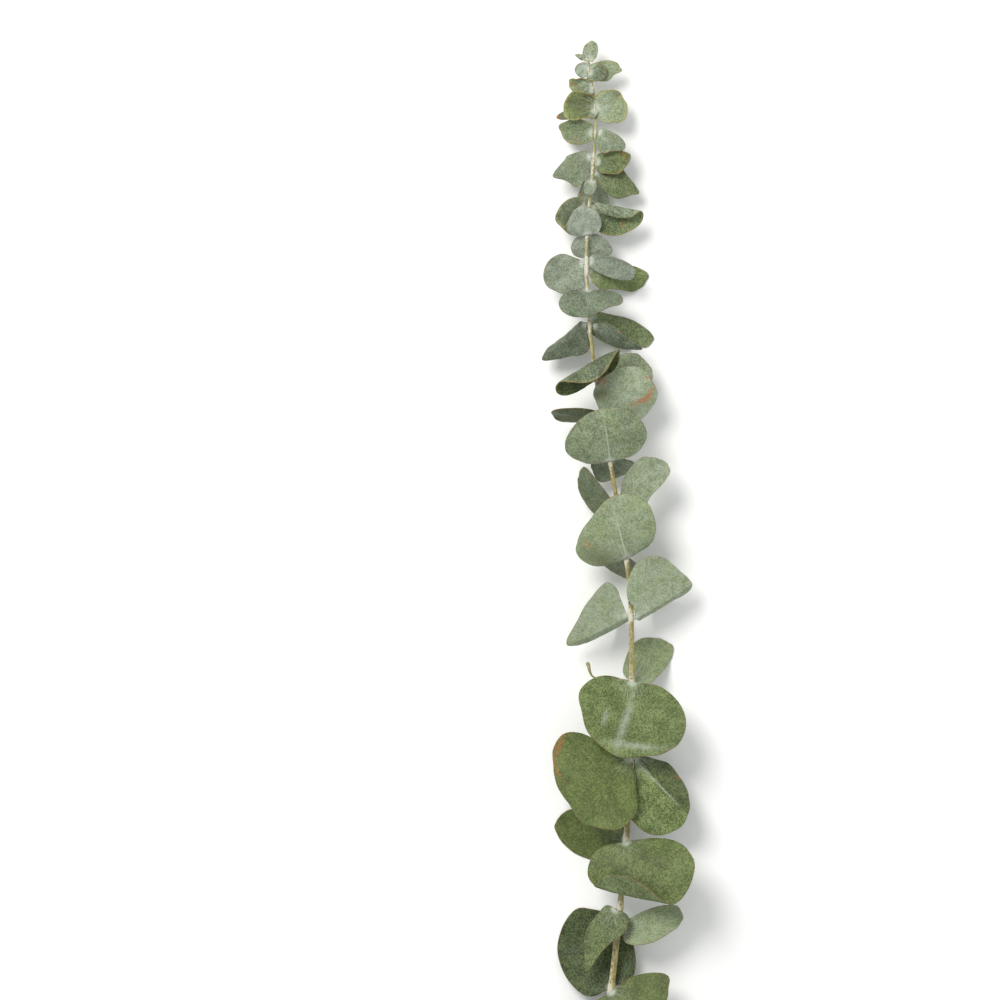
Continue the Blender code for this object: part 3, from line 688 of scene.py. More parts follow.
def distance_to_edge(points):
    """Distance of each grid point from the blade's nearest free edge, measured along the grid."""
    outward = np.linalg.norm(np.diff(points, axis=0), axis=-1)
    around = np.linalg.norm(np.diff(points, axis=1), axis=-1)
    to_margin = np.zeros(points.shape[:2])
    to_margin[:-1] = np.cumsum(outward[::-1], axis=0)[::-1]
    from_left = np.zeros(points.shape[:2])
    from_left[:, 1:] = np.cumsum(around, axis=1)
    return np.minimum(to_margin, np.minimum(from_left, from_left[:, -1:] - from_left))


def unit(vectors):
    """The vectors, each drawn out or in to a length of 1."""
    return vectors / np.maximum(np.linalg.norm(vectors, axis=-1, keepdims=True), 1e-12)


def normals_of(points):
    """The way that a grid of points faces at each of them."""
    return unit(np.cross(np.gradient(points, axis=1), np.gradient(points, axis=0)))


def uneven_outline(s, t, number, unevenness):
    """How far a blade reaches beside its even outline, which matters the more the nearer the margin is."""
    apart = np.full_like(t, OUTLINE_STEP * number)
    around = np.stack([np.cos(t * math.pi), np.sin(t * math.pi), apart], axis=-1)
    coarse, fine = (value_noise(around, *noise) for noise in zip((0.55, 0.19), OUTLINE_SEEDS))
    return 1 + s**2 * unevenness * (coarse + 0.45 * fine)


def stained(marks, along_mm, across_mm):
    """How strongly each kind of mark shows at the points of a blade. A mark fades out past its ends."""
    stains = np.zeros((*along_mm.shape, len(MARK_KINDS)))
    for mark in marks:
        turn = math.radians(mark.turn)
        aside, ahead = across_mm - mark.across, along_mm - mark.along
        lengthwise = (ahead * math.cos(turn) + aside * math.sin(turn)) / mark.length
        sidewise = (aside * math.cos(turn) - ahead * math.sin(turn)) / mark.width
        stains[..., MARK_KINDS.index(mark.kind)] += np.exp(-4 * (lengthwise**2 + sidewise**2))
    return stains


def vein_numbers(leaf, along_mm, across_mm):
    """Which side vein runs through each point, as a count from the stalk that is whole on a vein.

    The veins leave the midrib at a wider angle towards the base, where they fan out into the lobes.
    """
    length_mm = 1000 * leaf.length
    aside = np.abs(across_mm)
    start = (along_mm + VEIN_SLOPE * aside) / (1 + VEIN_FAN * aside / length_mm)
    count = BASE_VEINS + length_mm / VEIN_SPACING_MM
    return count * (np.maximum(start, 0) / length_mm) ** VEIN_CROWDING


def waved(leaf, points, s, share, pattern, vein, waviness):
    """The points of a blade moved up and down into soft waves, and quilted between the side veins."""
    broad_mm = 1000 * math.sqrt(leaf.length * leaf.width) / 4
    broad, fine = (value_noise(pattern, *noise) for noise in zip((broad_mm, 0.4 * broad_mm), WAVE_SEEDS))
    swell = s * waviness * (broad + 0.35 * s * fine)
    quilt = -QUILT_DEPTH * np.cos(2 * math.pi * vein) * np.clip(4 * share * (1 - s) + 0.2, 0, 1)
    return points + normals_of(points) * (swell + quilt)[..., None]


def blade_faces(settings, edge, base_mm, across_mm, share):
    """How far the upper face and the underside lie from the middle surface, both raised along the midrib."""
    rounding = np.clip(1 - edge / settings.edge_radius, 0, 1)
    half = settings.thickness / 2 * np.sqrt(1 - rounding**2) * (1 + 0.5 * np.exp(-base_mm / 3))
    rib_mm = RIB_MM + RIB_GAIN_MM * (1 - share) ** 0.8
    rib = np.exp(-((across_mm / rib_mm) ** 2)) * np.minimum(1, edge / settings.edge_radius)
    top = half - 0.25 * settings.rib_height * rib * (1 - share) ** 0.5
    return top, half + settings.rib_height * rib * (0.15 + 0.85 * (1 - share) ** 0.7)


def with_neck(leaf, lines, points, top, under, grids):
    """The same grids of a blade with rows set before the first, for the neck that joins it to the bark."""
    steps = np.linspace(1, 0, NECK_ROWS + 1)[:-1, None]
    radius = stem_radius(leaf.height)
    seat = stem_point(leaf.height) + outward_of(leaf) * NECK_DEPTH * radius
    half_width = min(leaf.width * STALK_SHARE, NECK_WIDTH * radius)
    foot = seat + lines[:, None] * half_width * leaf_axes(leaf)[1]
    neck = points[0] * (1 - steps[..., None]) + foot * steps[..., None]
    girth = NECK_THICKNESS * steps * np.sqrt(np.clip(1 - lines**2, 0, 1))
    top, under = (np.concatenate([face[0] * (1 - steps) + girth, face]) for face in (top, under))
    grids = [np.concatenate([np.repeat(grid[:1], NECK_ROWS, axis=0), grid]) for grid in grids]
    return np.concatenate([neck, points]), top, under, grids


def thin_solid(points, normal, top, under):
    """Vertices, faces and slots of a closed solid round a grid, and which grid points have an underside."""
    rows, columns = points.shape[:2]
    upper = np.arange(rows * columns).reshape(rows, columns)
    inside = np.zeros((rows, columns), bool)
    inside[:-1, 1:-1] = True
    lower = upper.copy()
    lower[inside] = rows * columns + np.arange(inside.sum())
    shift = np.where(inside, top, 0)[..., None] * normal
    vertices = np.concatenate([(points + shift).reshape(-1, 3), (points - under[..., None] * normal)[inside]])
    corners = (np.s_[:-1, :-1], np.s_[:-1, 1:], np.s_[1:, 1:], np.s_[1:, :-1])
    above, below = (
        np.stack([grid[corners[k]] for k in order], axis=-1).reshape(-1, 4).tolist()
        for grid, order in ((upper, (0, 1, 2, 3)), (lower, (0, 3, 2, 1)))
    )
    end = [
        [int(v) for v in dict.fromkeys((upper[0, k + 1], upper[0, k], lower[0, k], lower[0, k + 1]))]
        for k in range(columns - 1)
    ]
    slots = np.array([0] * len(above) + [1] * (len(below) + len(end)))
    return vertices, [*above, *below, *end], slots, inside


def blade_arrays(leaf, number, settings, detail, look, marks=(), sunk=False):
    """The vertices, faces, slots and pattern values of one leaf, as a thin closed solid with a round edge."""
    s, t = np.meshgrid(ring_places(leaf, detail[0]), spoke_places(detail[1]), indexing="ij")
    along, across = flat_blade(leaf, s, t, uneven_outline(s, t, number, settings.unevenness))
    points = placed_blade(leaf, along, across, s, t, RIPPLE_STEP * number, sunk)
    share = np.clip(along / leaf.length, 0, 1)
    along_mm, across_mm = 1000 * along, 1000 * across
    base_mm = np.hypot(along_mm, across_mm)
    vein = vein_numbers(leaf, along_mm, across_mm)
    pattern = np.stack([across_mm, along_mm, np.full_like(s, PATTERN_STEP_MM * number)], axis=-1)
    waviness = settings.tip_waviness if sunk else settings.waviness
    points = waved(leaf, points, s, share, pattern, vein, waviness)
    edge = distance_to_edge(points)
    measures = np.stack([1000 * edge, base_mm, vein], axis=-1)
    top, under = blade_faces(settings, edge, base_mm, across_mm, share)
    grids = [normals_of(points), pattern, measures, stained(marks, along_mm, across_mm)]
    if not sunk:
        points, top, under, grids = with_neck(leaf, t[0], points, top, under, grids)

    vertices, faces, slots, inside = thin_solid(points, grids[0], top, under)
    values = {
        name: np.concatenate([grid.reshape(-1, 3), grid[inside]])
        for name, grid in zip(("pattern", "measures", "stains"), grids[1:], strict=True)
    }
    # The leaf's lightness is partly painted light and shade, and its half is painted light and shade; its
    # spots and yellowed margin are its own.
    values["tone"] = np.tile([look.light, look.warm, look.bloom], (len(vertices), 1))
    values["age"] = np.tile([look.spots, look.margin, look.half], (len(vertices), 1))
    values["midrib"] = np.full(len(vertices), look.midrib)
    return vertices, faces, slots, values


def rod_arrays(points, radii, slant=0.0):
    """Rings of a round rod along the points, its quads, and the index of each ring's vertices.

    radii has a row of radii for each ring. slant leans the first rings over, for a cut made at an angle.
    """
    sides = radii.shape[1]
    tangent = unit(np.gradient(points, axis=0))
    side = unit(np.cross(tangent, [0, 0, 1]))
    up = np.cross(side, tangent)
    angle = np.linspace(0, 2 * math.pi, sides, endpoint=False)
    around = np.cos(angle)[:, None] * side[:, None] + np.sin(angle)[:, None] * up[:, None]
    rings = points[:, None] + radii[..., None] * around
    if slant:
        fading = np.exp(-np.linalg.norm(points - points[0], axis=-1) / SLANT_REACH)
        rings[..., 1] += slant * (rings[..., 2] - points[:, None, 2]) * fading[:, None]
    index = np.arange(len(points) * sides).reshape(len(points), sides)
    nxt = np.roll(index, -1, axis=1)
    return rings, np.stack([index[:-1], nxt[:-1], nxt[1:], index[1:]], axis=-1).reshape(-1, 4), index


def bark_radii(heights, angle):
    """Radius of the bark at each height and angle, with fine ridges, low knobs and the foot's leaf scars."""
    h, a = np.meshgrid(heights, angle, indexing="ij")
    unrolled = np.stack([2 * np.cos(a), 2 * np.sin(a), 1000 * h], axis=-1)
    ridges = value_noise(unrolled * (1.0, 1.0, 0.05), 0.9, BARK_SEEDS[0])
    knobs = value_noise(unrolled, 1.6, BARK_SEEDS[1])
    radii = stem_radius(heights)[:, None] * (1 + 0.022 * ridges + 0.02 * knobs)
    for height, turn in zip(BARE_NODES, (0.0, math.pi / 2), strict=True):
        for half_turn in (0, math.pi):
            off = np.abs((a - turn - half_turn + math.pi) % (2 * math.pi) - math.pi)
            near = np.hypot(off / SCAR_ANGLE, (h - height) / SCAR_HEIGHT)
            radii = radii + SCAR_RIM * np.exp(-(near**4)) - SCAR_DEPTH * np.exp(-((near / 0.5) ** 4))
    return radii * np.sqrt(np.clip((STEM_TOP - heights) / TIP_CLOSING, 0.02, 1))[:, None]


def bark_arrays():
    """The vertices, faces, slots and pattern values of the stem's bark and its cut end."""
    middle = np.linspace(0.001, STEM_TOP - TIP_CLOSING, BARK_RINGS)
    heights = np.concatenate([[0, 0.0002, 0.0005], middle, [STEM_TOP - 0.0002, STEM_TOP]])
    angle = np.linspace(0, 2 * math.pi, BARK_SIDES, endpoint=False)
    h, a = np.meshgrid(heights, angle, indexing="ij")
    radii = bark_radii(heights, angle)
    rings, quads, index = rod_arrays(stem_point(heights), radii, FOOT_SLANT)
    pattern = np.stack([1000 * radii * np.cos(a), 1000 * radii * np.sin(a), 1000 * h], axis=-1)
    closeness = np.exp(-(np.abs(h[..., None] - NODE_HEIGHTS).min(axis=-1) / JOINT_REACH) ** 2)

    # The cut end: rings drawn in to the pith, a little hollow between bark and wood.
    centre = rings[0].mean(axis=0)
    share, depth = np.array(CUT_RINGS).T[..., None, None]
    disc = centre + (rings[0] - centre) * share
    disc[..., 1] += depth[..., 0]
    vertices = np.concatenate([rings.reshape(-1, 3), disc.reshape(-1, 3), [centre]])
    rows = np.concatenate([index[:1], index.size + np.arange(len(disc) * BARK_SIDES).reshape(-1, BARK_SIDES)])
    nxt = np.roll(rows, -1, axis=1)
    end = np.stack([nxt[:-1], rows[:-1], rows[1:], nxt[1:]], axis=-1).reshape(-1, 4)
    hub = [[int(nxt[-1, k]), int(rows[-1, k]), len(vertices) - 1] for k in range(BARK_SIDES)]
    faces = [*quads.tolist(), index[-1].tolist(), *end.tolist(), *hub]
    slots = np.array([0] * (len(quads) + 1) + [1] * (len(end) + len(hub)))
    unaged = np.zeros(len(vertices) - index.size)
    flat = (pattern[0] * share).reshape(-1, 3)
    values = {
        "pattern": np.concatenate([pattern.reshape(-1, 3), flat, [[0, 0, 0]]]),
        "node": np.concatenate([closeness.ravel(), unaged]),
        "height": np.concatenate([h.ravel(), unaged]),
    }
    return vertices, faces, slots, values


def twig_arrays():
    """The vertices, faces, slots and pattern values of the bud twig."""
    place = np.linspace(0, len(TWIG_STEPS) - 1, TWIG_RINGS)
    share = np.interp(place, range(len(TWIG_GIRTH)), TWIG_GIRTH)
    share = share * np.sqrt(np.clip((BUD_END - place) / 0.35, 0.02, 1))
    angle = np.linspace(0, 2 * math.pi, TWIG_SIDES, endpoint=False)
    seam = 1 + BUD_SEAM * np.clip(place - BUD_START, 0, 1)[:, None] * np.cos(4 * angle)
    radii = TWIG_RADIUS * share[:, None] * seam
    rings, quads, index = rod_arrays(smooth_route(TWIG_STEPS, TWIG_RINGS) + stem_point(TWIG_ROOT), radii)
    faces = [*quads.tolist(), index[0, ::-1].tolist(), index[-1].tolist()]
    length_mm = np.broadcast_to(place[:, None] * TWIG_STEP_MM, radii.shape)
    pattern = np.stack([1000 * radii * np.cos(angle), 1000 * radii * np.sin(angle), length_mm], axis=-1)
    values = {
        "pattern": pattern.reshape(-1, 3),
        "node": np.zeros(index.size),
        "height": np.full(index.size, TWIG_BARK_HEIGHT),
    }
    return rings.reshape(-1, 3), faces, np.zeros(len(faces), int), values


def mesh_object(name, arrays, finishes):
    """A smooth mesh object from its vertices, faces, slots and pattern values, with these finishes."""
    vertices, faces, slots, values = arrays
    mesh = bpy.data.meshes.new(name)
    mesh.from_pydata(vertices.tolist(), [], faces)
    for finish in finishes:
        mesh.materials.append(finish)
    mesh.polygons.foreach_set("material_index", slots)
    for title, grid in values.items():
        grid = np.asarray(grid, np.float32)
        kind, field = ("FLOAT", "value") if grid.ndim == 1 else ("FLOAT_VECTOR", "vector")
        mesh.attributes.new(title, kind, "POINT").data.foreach_set(field, grid.ravel())
    mesh.shade_smooth()
    mesh.update()
    made = bpy.data.objects.new(name, mesh)
    bpy.context.scene.collection.objects.link(made)
    return made


def linear(code):
    """An sRGB hex colour as linear red, green, blue and an alpha of 1."""
    channels = np.array([int(code[k : k + 2], 16) for k in (1, 3, 5)]) / 255
    curved = ((channels + 0.055) / 1.055) ** 2.4
    return (*np.where(channels <= 0.04045, channels / 12.92, curved).tolist(), 1.0)


def feed(tree, node, inputs):
    """Give each of a node's sockets its value, or what it reads."""
    for key, value in inputs.items():
        if isinstance(value, bpy.types.Node):
            value = next(socket for socket in value.outputs if socket.enabled)
        if isinstance(value, bpy.types.NodeSocket):
            tree.links.new(value, node.inputs[key])
        else:
            node.inputs[key].default_value = value


def add(tree, kind, inputs=None, **settings):
    """A node of this kind with its settings. inputs maps a socket to its value, or to what it reads."""
    made = tree.nodes.new("ShaderNode" + kind)
    for name, value in settings.items():
        setattr(made, name, value)
    feed(tree, made, inputs or {})
    return made


# The sockets of a Mix node of colours and of a Map Range node, and the settings that they have throughout.
HOW_MUCH, BELOW, ABOVE = 0, 6, 7
READ, START, STOP, LOW, HIGH = range(5)
COLOURS = {"data_type": "RGBA"}
SMOOTH = {"interpolation_type": "SMOOTHSTEP"}
PRODUCT, SUM, SUM_OF_PRODUCT, LARGER, QUOTIENT, ZIGZAG = (
    {"operation": name} for name in ("MULTIPLY", "ADD", "MULTIPLY_ADD", "MAXIMUM", "DIVIDE", "PINGPONG")
)

# The scales of the patterns, in features to a millimetre, as the pattern's place is in millimetres. So 0.2
# draws clouds 5 mm wide, and 1.7 draws grains 0.6 mm wide.
PATCHES = 0.12
CLOUDS = 0.2
VEIN_SWAY = 0.35
MARGIN_WANDER = 0.4
SMALL_VEINS = 0.75
RUST_GRIT = 0.8
GRAINS = 1.7
BARK_STREAKS = 0.65
BARK_FLECKS = 1.8
WAX_SPECKS = 1.1
RING_WANDER = 1.2

# The floor's pattern, in features to a metre: a tooth 1 mm wide, which is finer than it shows.
PAPER_TOOTH = 900.0


def new_finish(name, roughness, specular):
    """A material with a Principled shader, its even values set on the shader's own sockets."""
    finish = bpy.data.materials.new(name)
    finish.use_nodes = True
    shader = finish.node_tree.nodes["Principled BSDF"]
    feed(finish.node_tree, shader, {"Roughness": roughness, "Specular IOR Level": specular})
    return finish, finish.node_tree, shader


# What a blade's vertices say of each point: its place on the flat blade and the leaf's number, how far it is
# from the edge and from the stalk and which side vein it is on, and the leaf's look and marks. Its lightness
# and shade marks are partly painted light and shade, and its half is painted light and shade.
LEAF_VECTORS = {
    "pattern": "across along leaf_number",
    "measures": "rim base vein",
    "tone": "lightness warmth bloom",
    "age": "spots margin half",
    "stains": "rust shade crease",
}
LeafPoint = namedtuple("LeafPoint", [*" ".join(LEAF_VECTORS.values()).split(), "pattern", "midrib"])


def leaf_point(tree):
    """The sockets that read what a blade's vertices say."""
    vectors = [add(tree, "Attribute", attribute_name=name).outputs["Vector"] for name in LEAF_VECTORS]
    parts = [socket for vector in vectors for socket in add(tree, "SeparateXYZ", {0: vector}).outputs]
    return LeafPoint(*parts, vectors[0], add(tree, "Attribute", attribute_name="midrib").outputs["Fac"])


def leaf_felt(tree, at):
    """The felt of cells on a leaf's skin, and the rays in it that fan out from the stalk.

    Real cells are 0.1 mm wide, too fine to show, so they are drawn about six times as large: dashes 0.6 mm
    wide and 1.4 mm long beside the veins, grains 0.6 mm wide, and rays 5 mm long that widen outward.
    """
    sideways = add(tree, "Math", {0: at.across, 1: 0.7}, **PRODUCT)
    veinward = add(tree, "Math", {0: at.vein, 1: 9.0}, **PRODUCT)
    place = add(tree, "CombineXYZ", {0: veinward, 1: sideways, 2: at.leaf_number})
    dashes = add(tree, "TexNoise", {"Vector": place, "Scale": 1.0, "Detail": 2.0, "Roughness": 0.6})
    ahead = add(tree, "Math", {0: at.along, 1: 3.0}, **SUM)
    turn = add(tree, "Math", {0: at.across, 1: ahead}, operation="ARCTAN2")
    fanned = add(tree, "Math", {0: turn, 1: 30.0}, **PRODUCT)
    outward = add(tree, "Math", {0: at.base, 1: 0.2}, **PRODUCT)
    place = add(tree, "CombineXYZ", {0: fanned, 1: outward, 2: at.leaf_number})
    rays = add(tree, "TexNoise", {"Vector": place, "Scale": 1.0, "Detail": 2.0, "Roughness": 0.55})
    grains = add(tree, "TexVoronoi", {"Vector": at.pattern, "Scale": GRAINS}).outputs["Color"]
    woven = add(tree, "Math", {0: rays, 1: 1.2, 2: dashes}, **SUM_OF_PRODUCT)
    woven = add(tree, "Math", {0: grains, 1: 1.8, 2: woven}, **SUM_OF_PRODUCT)
    return add(tree, "MapRange", {READ: woven, START: 1.4, STOP: 2.6}, **SMOOTH), rays


def leaf_green(tree, at, felt, dark, light, look):
    """A leaf's green in soft patches 8 mm wide, with painted light and shade on one half of a turned blade.
    """
    patches = add(tree, "TexNoise", {"Vector": at.pattern, "Scale": PATCHES, "Detail": 3.0})
    mixed = add(tree, "Math", {0: felt, 1: 0.4, 2: patches}, **SUM_OF_PRODUCT)
    amount = add(tree, "MapRange", {READ: mixed, START: 0.4, STOP: 1.0}, **SMOOTH)
    green = add(tree, "Mix", {HOW_MUCH: amount, BELOW: dark, ABOVE: light}, **COLOURS)
    for paint, stop in ((look.warm_green, 1.0), (look.cool_green, -1.0)):
        amount = add(tree, "MapRange", {READ: at.warmth, START: 0.0, STOP: stop, HIGH: 0.75})
        green = add(tree, "Mix", {HOW_MUCH: amount, BELOW: green, ABOVE: paint}, **COLOURS)
    speckle = add(tree, "MapRange", {READ: felt, LOW: 0.72, HIGH: 1.28})
    # Painted light and shade: the blade's right half lighter and its left darker by the leaf's half, over its
    # lightness, which is partly painted too.
    side = add(tree, "MapRange", {READ: at.across, START: -0.6, STOP: 0.6, LOW: -1.0, HIGH: 1.0})
    lit = add(tree, "Math", {0: side, 1: at.half, 2: at.lightness}, **SUM_OF_PRODUCT)
    lit = add(tree, "Math", {0: patches, 1: 1.3, 2: lit}, **SUM_OF_PRODUCT)
    lifted = add(tree, "MapRange", {READ: lit, START: -0.35, STOP: 1.65, LOW: 0.55, HIGH: 1.45})
    value = add(tree, "Math", {0: speckle, 1: lifted}, **PRODUCT)
    return add(tree, "HueSaturation", {"Value": value, "Color": green})


def leaf_veins(tree, at):
    """All the veins of a leaf, and the midrib by itself, 1 mm wide at the stalk and narrower ahead.

    The side veins are faint and sway a little. The net between them has meshes 1.3 mm wide, two or three
    times the real ones, so that they show.
    """
    sway = add(tree, "TexNoise", {"Vector": at.pattern, "Scale": VEIN_SWAY, "Detail": 2.0})
    swayed = add(tree, "Math", {0: sway, 1: 0.55, 2: at.vein}, **SUM_OF_PRODUCT)
    off_vein = add(tree, "Math", {0: swayed, 1: 0.5}, **ZIGZAG)
    side_veins = add(tree, "MapRange", {READ: off_vein, START: 0.10, STOP: 0.02, HIGH: 0.16}, **SMOOTH)
    width = add(tree, "MapRange", {READ: at.along, STOP: 40.0, LOW: 0.5, HIGH: 0.2})
    off_rib = add(tree, "Math", {0: at.across}, operation="ABSOLUTE")
    off_rib = add(tree, "Math", {0: off_rib, 1: width}, **QUOTIENT)
    rib = add(tree, "MapRange", {READ: off_rib, START: 1.6, STOP: 0.5}, **SMOOTH)
    shown = add(tree, "MapRange", {READ: at.along, START: 30.0, STOP: 4.0, LOW: 0.15, HIGH: 0.55}, **SMOOTH)
    rib = add(tree, "Math", {0: rib, 1: shown}, **PRODUCT)
    rib = add(tree, "Math", {0: rib, 1: at.midrib}, **PRODUCT)
    net = add(tree, "TexVoronoi", {"Vector": at.pattern, "Scale": SMALL_VEINS}, feature="DISTANCE_TO_EDGE")
    net = add(tree, "MapRange", {READ: net, START: 0.10, STOP: 0.02, HIGH: 0.10}, **SMOOTH)
    veins = add(tree, "Math", {0: side_veins, 1: rib}, **LARGER)
    return add(tree, "Math", {0: veins, 1: net}, **LARGER), rib


def leaf_wax(tree, at, felt):
    """Powdery wax in clouds 5 mm wide, worn off the dark parts of the felt and gathered in creases."""
    powder = add(tree, "TexNoise", {"Vector": at.pattern, "Scale": CLOUDS, "Detail": 4.0, "Roughness": 0.6})
    clouds = add(tree, "MapRange", {READ: powder, START: 0.33, STOP: 0.70, LOW: 0.55}, **SMOOTH)
    dust = add(tree, "MapRange", {READ: felt, START: 0.15, STOP: 0.75, LOW: 0.65}, **SMOOTH)
    coat = add(tree, "Math", {0: clouds, 1: at.bloom}, **PRODUCT)
    gathered = add(tree, "Math", {0: at.crease, 1: 0.7}, **PRODUCT)
    coat = add(tree, "Math", {0: coat, 1: gathered}, **LARGER)
    return add(tree, "Math", {0: coat, 1: dust}, **PRODUCT)


def stalk_white(tree, at, rays, rib, paler):
    """White wax at the stalk: thickest on the first 4 mm, then in rays 14 mm out, and on the midrib."""
    lines = add(tree, "MapRange", {READ: rays, START: 0.50, STOP: 0.62}, **SMOOTH)
    reach = add(tree, "MapRange", {READ: at.base, START: 14.0, STOP: 1.5, HIGH: 0.75}, **SMOOTH)
    fan = add(tree, "Math", {0: lines, 1: reach}, **PRODUCT)
    stalk = add(tree, "MapRange", {READ: at.base, START: 4.0, STOP: 1.0, HIGH: 0.8}, **SMOOTH)
    white = add(tree, "Math", {0: fan, 1: rib}, **LARGER)
    white = add(tree, "Math", {0: white, 1: paler}, **PRODUCT)
    return add(tree, "Math", {0: white, 1: stalk}, **LARGER)


def leaf_age_and_shade(tree, at, look):
    """How a leaf has aged, and its shade marks, as pairs of an amount and a colour, from the first to the
    topmost.

    It gives a yellow margin up to 3.6 mm deep, dark patches that are painted shade on some leaves and a dark
    stain on others, rust broken up by a grit of 1.2 mm, and a dry brown line half a millimetre wide that
    comes and goes along the edge.
    """
    wander = add(
        tree, "TexNoise", {"Vector": at.pattern, "Scale": MARGIN_WANDER, "Detail": 3.0, "Roughness": 0.65}
    )
    depth = add(tree, "MapRange", {READ: wander, START: 0.38, STOP: 0.65, LOW: 0.5, HIGH: 3.6})
    inward = add(tree, "Math", {0: at.rim, 1: depth}, **QUOTIENT)
    yellowed = add(tree, "MapRange", {READ: inward, START: 1.0, STOP: 0.2, HIGH: 0.75}, **SMOOTH)
    yellowed = add(tree, "Math", {0: yellowed, 1: at.margin}, **PRODUCT)
    # Dark patches of the shade marks: painted shade on some leaves, a dark stain on others.
    dark_stain_and_shade = add(tree, "Math", {0: at.shade, 1: 0.6}, **PRODUCT)
    grit = add(tree, "TexNoise", {"Vector": at.pattern, "Scale": RUST_GRIT, "Detail": 4.0, "Roughness": 0.75})
    patchy = add(tree, "Math", {0: at.rust, 1: 0.34}, **PRODUCT)
    freckled = add(tree, "Math", {0: at.spots, 1: 0.12, 2: patchy}, **SUM_OF_PRODUCT)
    broken = add(tree, "Math", {0: grit, 1: freckled}, **SUM)
    rusted = add(tree, "MapRange", {READ: broken, START: 0.64, STOP: 0.94, HIGH: 0.75}, **SMOOTH)
    line = add(tree, "MapRange", {READ: at.rim, START: 0.5, STOP: 0.1}, **SMOOTH)
    dry = add(tree, "MapRange", {READ: wander, START: 0.4, STOP: 0.62, LOW: 0.1, HIGH: 0.75}, **SMOOTH)
    line = add(tree, "Math", {0: line, 1: dry}, **PRODUCT)
    return (yellowed, look.margin), (dark_stain_and_shade, look.dark_stain_and_painted_shade), (rusted, look.rust), (line, look.rim)


def blade_finish(name, look, dark, light, veins_shown):
    """Preserved eucalyptus leaf, leathery and waxed by the plant itself.

    The eye gets a matt grey-green skin, felted by flecks that follow the veins, under a powdery bloom that is
    thickest at the stalk, with rust and a dry brown line where the edge has aged. Painted light and shade lie
    on
    it too: a lighter and a darker half on some leaves, painted shade in some of the dark patches, and a
    lightness that is partly painted.
    """
    finish, tree, shader = new_finish(name, 0.6, 0.22)
    at = leaf_point(tree)
    felt, rays = leaf_felt(tree, at)
    skin = leaf_green(tree, at, felt, dark, light, look)
    veins, rib = leaf_veins(tree, at)
    # Veins and stalk wax show less on darker leaves, whose darkness is partly painted shade.
    paler = add(tree, "MapRange", {READ: at.lightness, START: -1.0, STOP: 0.2, LOW: 0.2, HIGH: veins_shown})
    seen = add(tree, "Math", {0: veins, 1: paler}, **PRODUCT)
    coat = leaf_wax(tree, at, felt)
    white = stalk_white(tree, at, rays, rib, paler)
    layers = ((seen, look.vein), (coat, look.bloom), (white, look.stalk_wax), *leaf_age_and_shade(tree, at, look))
    for amount, paint in layers:
        skin = add(tree, "Mix", {HOW_MUCH: amount, BELOW: skin, ABOVE: paint}, **COLOURS)
    height = add(tree, "Math", {0: veins, 1: 1.5, 2: felt}, **SUM_OF_PRODUCT)
    bump = add(tree, "Bump", {"Strength": 0.35, "Distance": 0.00018, "Height": height})
    roughness = add(tree, "MapRange", {READ: coat, LOW: 0.52, HIGH: 0.8})
    feed(tree, shader, {"Base Color": skin, "Roughness": roughness, "Normal": bump})
    return finish


